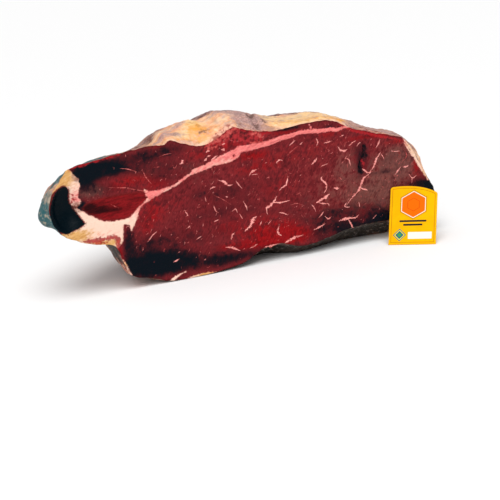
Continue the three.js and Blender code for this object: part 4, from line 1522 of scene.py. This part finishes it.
def crust_fat(look, colours, fine, pore, fibre):
    """The outer fat: cream with paler and darker swirls, streaks and waxy areas. It comes with
    its mask and the swirls."""
    swirl = look.grain(9.0, lean=12, stretch=2.4)
    suet = look.blend(look.spread(swirl, 0.4, 0.95, 0, 0.8), colours.cream, Tint.suet_pale)
    suet = look.lay(suet, Tint.suet_dark, look.spread(swirl, 0.05, 0.5, 0.85, 0))
    suet = look.lay(suet, Tint.suet_streak, look.spread(fibre, 0.0, 0.6, 0.5, 0))
    suet = look.lay(suet, Tint.wax, look.mask("wax", 3.5, 6.0, 5.0), 0.85)
    suet = look.lay(suet, Tint.suet_pore, look.spread(pore, 0.6, 1, 0, 0.5))
    cream = look.mask(look.plus(look.mark("cream"), look.waver(fine, 0.8)), 3.4, 10.0, 2.6)
    return suet, cream, swirl


def crust_material(colours):
    """Dried skin: tan above, dried muscle behind and darker towards the bottom, with drawn-out fibres,
    patches of cream and golden fat, dull bloom, painted shade in the creases and, nearly black, low
    down and under the overhang, and fresh colour along the rim."""
    look = Look("crust")
    fine, pore = look.grain(1.5), look.grain(4.2, 4.0)
    broad = look.grain(22.0, 4.0, stretch=2.0)
    fibre = look.grain(2.2, lean=4, stretch=6.0)
    uneven = look.plus(look.waver(broad, 0.6), look.waver(fibre, 0.16))
    # Behind, and towards the bottom, the crust passes to the darker dried-muscle tone.
    back = look.plus(look.times(look.mark("behind"), 0.62), look.times(look.mark("low"), 0.4))
    hide = look.blend(look.spread(fibre, 0.15, 0.85), colours.dried, Tint.hide_red)
    tone = look.blend(look.spread(look.plus(back, uneven), 0.05, 0.75), colours.tan, hide)
    tone = look.darken(tone, Tint.hide_shade, fibre, 0.7, 0.4, low=0.1)

    suet, cream, swirl = crust_fat(look, colours, fine, pore, fibre)
    tone = look.lay(tone, suet, cream)
    ashen = look.blend(pore, Tint.ash_dark, Tint.ash_pale)
    tone = look.lay(tone, ashen, look.mask("ash", 4.0, 5.0, 4.0), 0.88)
    gold = look.times(look.mask("gold", 3.5, 4.0, 6.0), look.spread(swirl, 0.1, 0.7, 0.35, 0.85))
    tone = look.lay(tone, colours.gold, gold)
    bloom = look.blend(look.spread(fine, 0.2, 0.8), colours.mauve, Tint.bloom_pale)
    mauve = look.mask(look.plus(look.mark("mauve"), look.waver(broad, 5)), 4.0, 6.0, 4.5)
    tone = look.lay(tone, bloom, mauve, 0.82)
    slaty = look.blend(look.spread(pore, 0.7, 1), colours.slate, Tint.slate_spot)
    tone = look.lay(tone, slaty, look.mask("slate", 4.0, 5.0, 4.0), 0.93)

    lip = look.spread(look.mark("lip"), 0.3, 5.0, 1, 0)
    fresh = look.blend(pore, Tint.lip_dark, Tint.lip_pale)
    tone = look.lay(tone, fresh, look.times(lip, look.times(cream, 0.6)))
    flesh = look.blend(look.spread(pore, 0.25, 0.8), Tint.flesh_dark, Tint.flesh_pale)
    tone = look.lay(tone, flesh, look.mask("fresh", 3.0, 4.0, 3.0), 0.85)
    # Painted shade in the crevice and creases behind the rim.
    tone = look.lay(tone, Tint.crease, look.mask("shade", 4.0, 3.4, 3.5), 0.8)
    # Painted shade, nearly black, low on the crust and under the overhang.
    tone = look.lay(tone, colours.painted_low_shade, look.mask("painted_low_shade", 5.0, 8.0, 7.0), 0.95)
    dust = look.spread(look.grain(2.6, 6.0), 0.66, 0.95, 0, 0.3)
    tone = look.lay(tone, Tint.dust, look.times(dust, look.spread(broad, 0.3, 0.8)))
    rough = look.plus(look.spread(fine, 0, 1, 0.42, 0.7), look.times(cream, -0.1))
    height = look.plus(look.times(fine, 0.3), look.times(pore, 0.5), fibre)
    return look.finish(tone, rough, height, specular=0.22, strength=0.45, depth=0.45)


def card_material(colours):
    """Printed card: a yellow ground with a line, a badge, bars, a blank field and a small mark,
    laid on one after the other where the distance into them is above 0."""
    look = Look("printed card")
    fine = look.grain(0.5, 3.0)
    coarse = look.spread(look.grain(12.0, 2.0), 0, 1, 0, 0.45)
    tone = look.blend(coarse, colours.ground, Tint.ground_deep)
    tone = look.lay(tone, Tint.worn, look.spread(look.mark("worn"), 0, 0.9, 0.4, 0))
    badge, mark = look.mark("badge"), look.mark("mark")
    ring = look.less(RING_HALF, look.maths("ABSOLUTE", look.less(badge, BADGE_INNER)))
    layers = [
        (look.mark("line"), colours.line, 0.95),
        (look.plus(badge, BADGE_SEAT), colours.line, 0.75),
        (badge, colours.pale, 1),
        (look.less(badge, BADGE_EDGE), colours.badge, 1),
        (ring, Tint.badge_ring, 0.7),
        (look.mark("bars"), colours.ink, 1),
        (look.mark("field"), colours.pale, 1),
        (mark, colours.blue, 1),
        (look.less(mark, MARK_YELLOW), Tint.mark_yellow, 1),
        (look.less(mark, MARK_BLUE), colours.blue, 1),
        (look.less(mark, MARK_GREEN), colours.green, 1),
    ]
    for distance, ink, strength in layers:
        tone = look.lay(tone, ink, look.spread(distance, -PRINT_SOFT, PRINT_SOFT), strength)
    rough = look.spread(fine, 0, 1, 0.42, 0.55)
    return look.finish(tone, rough, fine, specular=0.02, strength=0.12, depth=0.05)


class CECINA_OT_meat(bpy.types.Operator):
    """Make the piece of meat: its cut face and its crust"""
    bl_idname = "cecina.meat"
    bl_label = "Make the meat"

    def execute(self, context):
        scene = context.scene
        piece = meat_piece(scene.meat_sizes)
        piece.data.materials.append(cut_meat_material(scene.meat_colours))
        piece.data.materials.append(crust_material(scene.meat_colours))
        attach(piece, "root")
        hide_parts("cecina")
        return {"FINISHED"}


class CECINA_OT_marbling(bpy.types.Operator):
    """Make the flecks of fat that lie in the cut face"""
    bl_idname = "cecina.marbling"
    bl_label = "Make the marbling"

    def execute(self, context):
        piece = marbling_piece(context.scene.meat_sizes)
        piece.data.materials.append(bpy.data.materials["cut meat"])
        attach(piece, "root")
        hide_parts("cecina")
        return {"FINISHED"}


class CECINA_OT_card(bpy.types.Operator):
    """Make the printed card that leans on the cut face"""
    bl_idname = "cecina.card"
    bl_label = "Make the card"

    def execute(self, context):
        piece = card_piece()
        piece.data.materials.append(card_material(context.scene.card_colours))
        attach(piece, "root")
        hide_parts("tag")
        return {"FINISHED"}


def stage_floor(colour):
    """A wide flat floor under the piece."""
    half = FLOOR_HALF
    mesh = bpy.data.meshes.new("floor")
    corners = [(-half, -half, 0), (half, -half, 0), (half, half, 0), (-half, half, 0)]
    mesh.from_pydata(corners, [], [(0, 1, 2, 3)])
    floor = bpy.data.objects.new("floor", mesh)
    bpy.context.scene.collection.objects.link(floor)
    material = bpy.data.materials.new("pale floor")
    material.use_nodes = True
    shader = material.node_tree.nodes["Principled BSDF"]
    shader.inputs["Base Color"].default_value = (*colour, 1)
    shader.inputs["Roughness"].default_value = FLOOR_ROUGHNESS
    shader.inputs["Specular IOR Level"].default_value = FLOOR_GLOSS
    mesh.materials.append(material)


def add_lamp(name, kind, place, aim, **settings):
    """A lamp at a place in metres, turned to face its aim."""
    lamp = bpy.data.lights.new(name, kind)
    for label, value in settings.items():
        setattr(lamp, label, value)
    holder = bpy.data.objects.new(name, lamp)
    back = np.subtract(place, aim).astype(float)
    back /= np.linalg.norm(back)
    holder.location = place
    holder.rotation_euler = (math.acos(back[2]), 0, math.atan2(back[0], -back[1]))
    bpy.context.scene.collection.objects.link(holder)


def add_camera():
    """The camera at the picture's viewing angle."""
    axes = view_axes()
    camera = bpy.data.cameras.new("camera")
    camera.lens = VIEW_LENS
    camera.sensor_width = VIEW_SENSOR
    camera.clip_end = VIEW_END
    holder = bpy.data.objects.new("camera", camera)
    eye = (np.array(VIEW_TARGET) + VIEW_DISTANCE * axes[2]) * MM
    holder.matrix_world = Matrix([*np.column_stack([*axes, eye]).tolist(), (0, 0, 0, 1)])
    bpy.context.scene.collection.objects.link(holder)
    bpy.context.scene.camera = holder


class CECINA_OT_stage(bpy.types.Operator):
    """Make the floor, the lamps, the sky and the camera"""
    bl_idname = "cecina.stage"
    bl_label = "Make the stage"

    def execute(self, context):
        scene = context.scene
        look = scene.stage_look
        stage_floor(look.floor)
        add_lamp("wide sun", "SUN", SUN_PLACE, (0, 0, 0), energy=look.sun, angle=SUN_ANGLE)
        add_lamp("front panel", "AREA", PANEL_PLACE, PANEL_AIM, energy=look.front,
                 shape="RECTANGLE", size=PANEL_SIZE[0], size_y=PANEL_SIZE[1])
        world = bpy.data.worlds.new("sky")
        world.use_nodes = True
        ground = world.node_tree.nodes["Background"]
        ground.inputs["Color"].default_value = (1, 1, 1, 1)
        ground.inputs["Strength"].default_value = look.sky
        scene.world = world
        scene.view_settings.view_transform = "Standard"
        add_camera()
        return {"FINISHED"}


OPERATORS = (CECINA_OT_meat, CECINA_OT_marbling, CECINA_OT_card, CECINA_OT_stage)
SETTINGS = {
    "meat_sizes": MeatSizes, "meat_colours": MeatColours, "card_colours": CardColours,
    "stage_look": StageLook,
}


class CECINA_PT_panel(bpy.types.Panel):
    """Lists the makers of each piece and their settings"""
    bl_label = "Cured beef"
    bl_space_type = "VIEW_3D"
    bl_region_type = "UI"
    bl_category = "Cured beef"

    def draw(self, context):
        layout = self.layout
        for operator in OPERATORS:
            layout.operator(operator.bl_idname)
        for label, group in SETTINGS.items():
            box = layout.box()
            for name in group.__annotations__:
                box.prop(getattr(context.scene, label), name)


def register():
    for kind in (*SETTINGS.values(), *OPERATORS, CECINA_PT_panel):
        bpy.utils.register_class(kind)
    for label, group in SETTINGS.items():
        setattr(bpy.types.Scene, label, PointerProperty(type=group))


def unregister():
    for label in SETTINGS:
        delattr(bpy.types.Scene, label)
    for kind in (CECINA_PT_panel, *reversed(OPERATORS), *SETTINGS.values()):
        bpy.utils.unregister_class(kind)


def main():
    register()
    bpy.ops.cecina.meat()
    bpy.ops.cecina.marbling()
    bpy.ops.cecina.card()
    bpy.ops.cecina.stage()


if __name__ == "__main__":
    main()
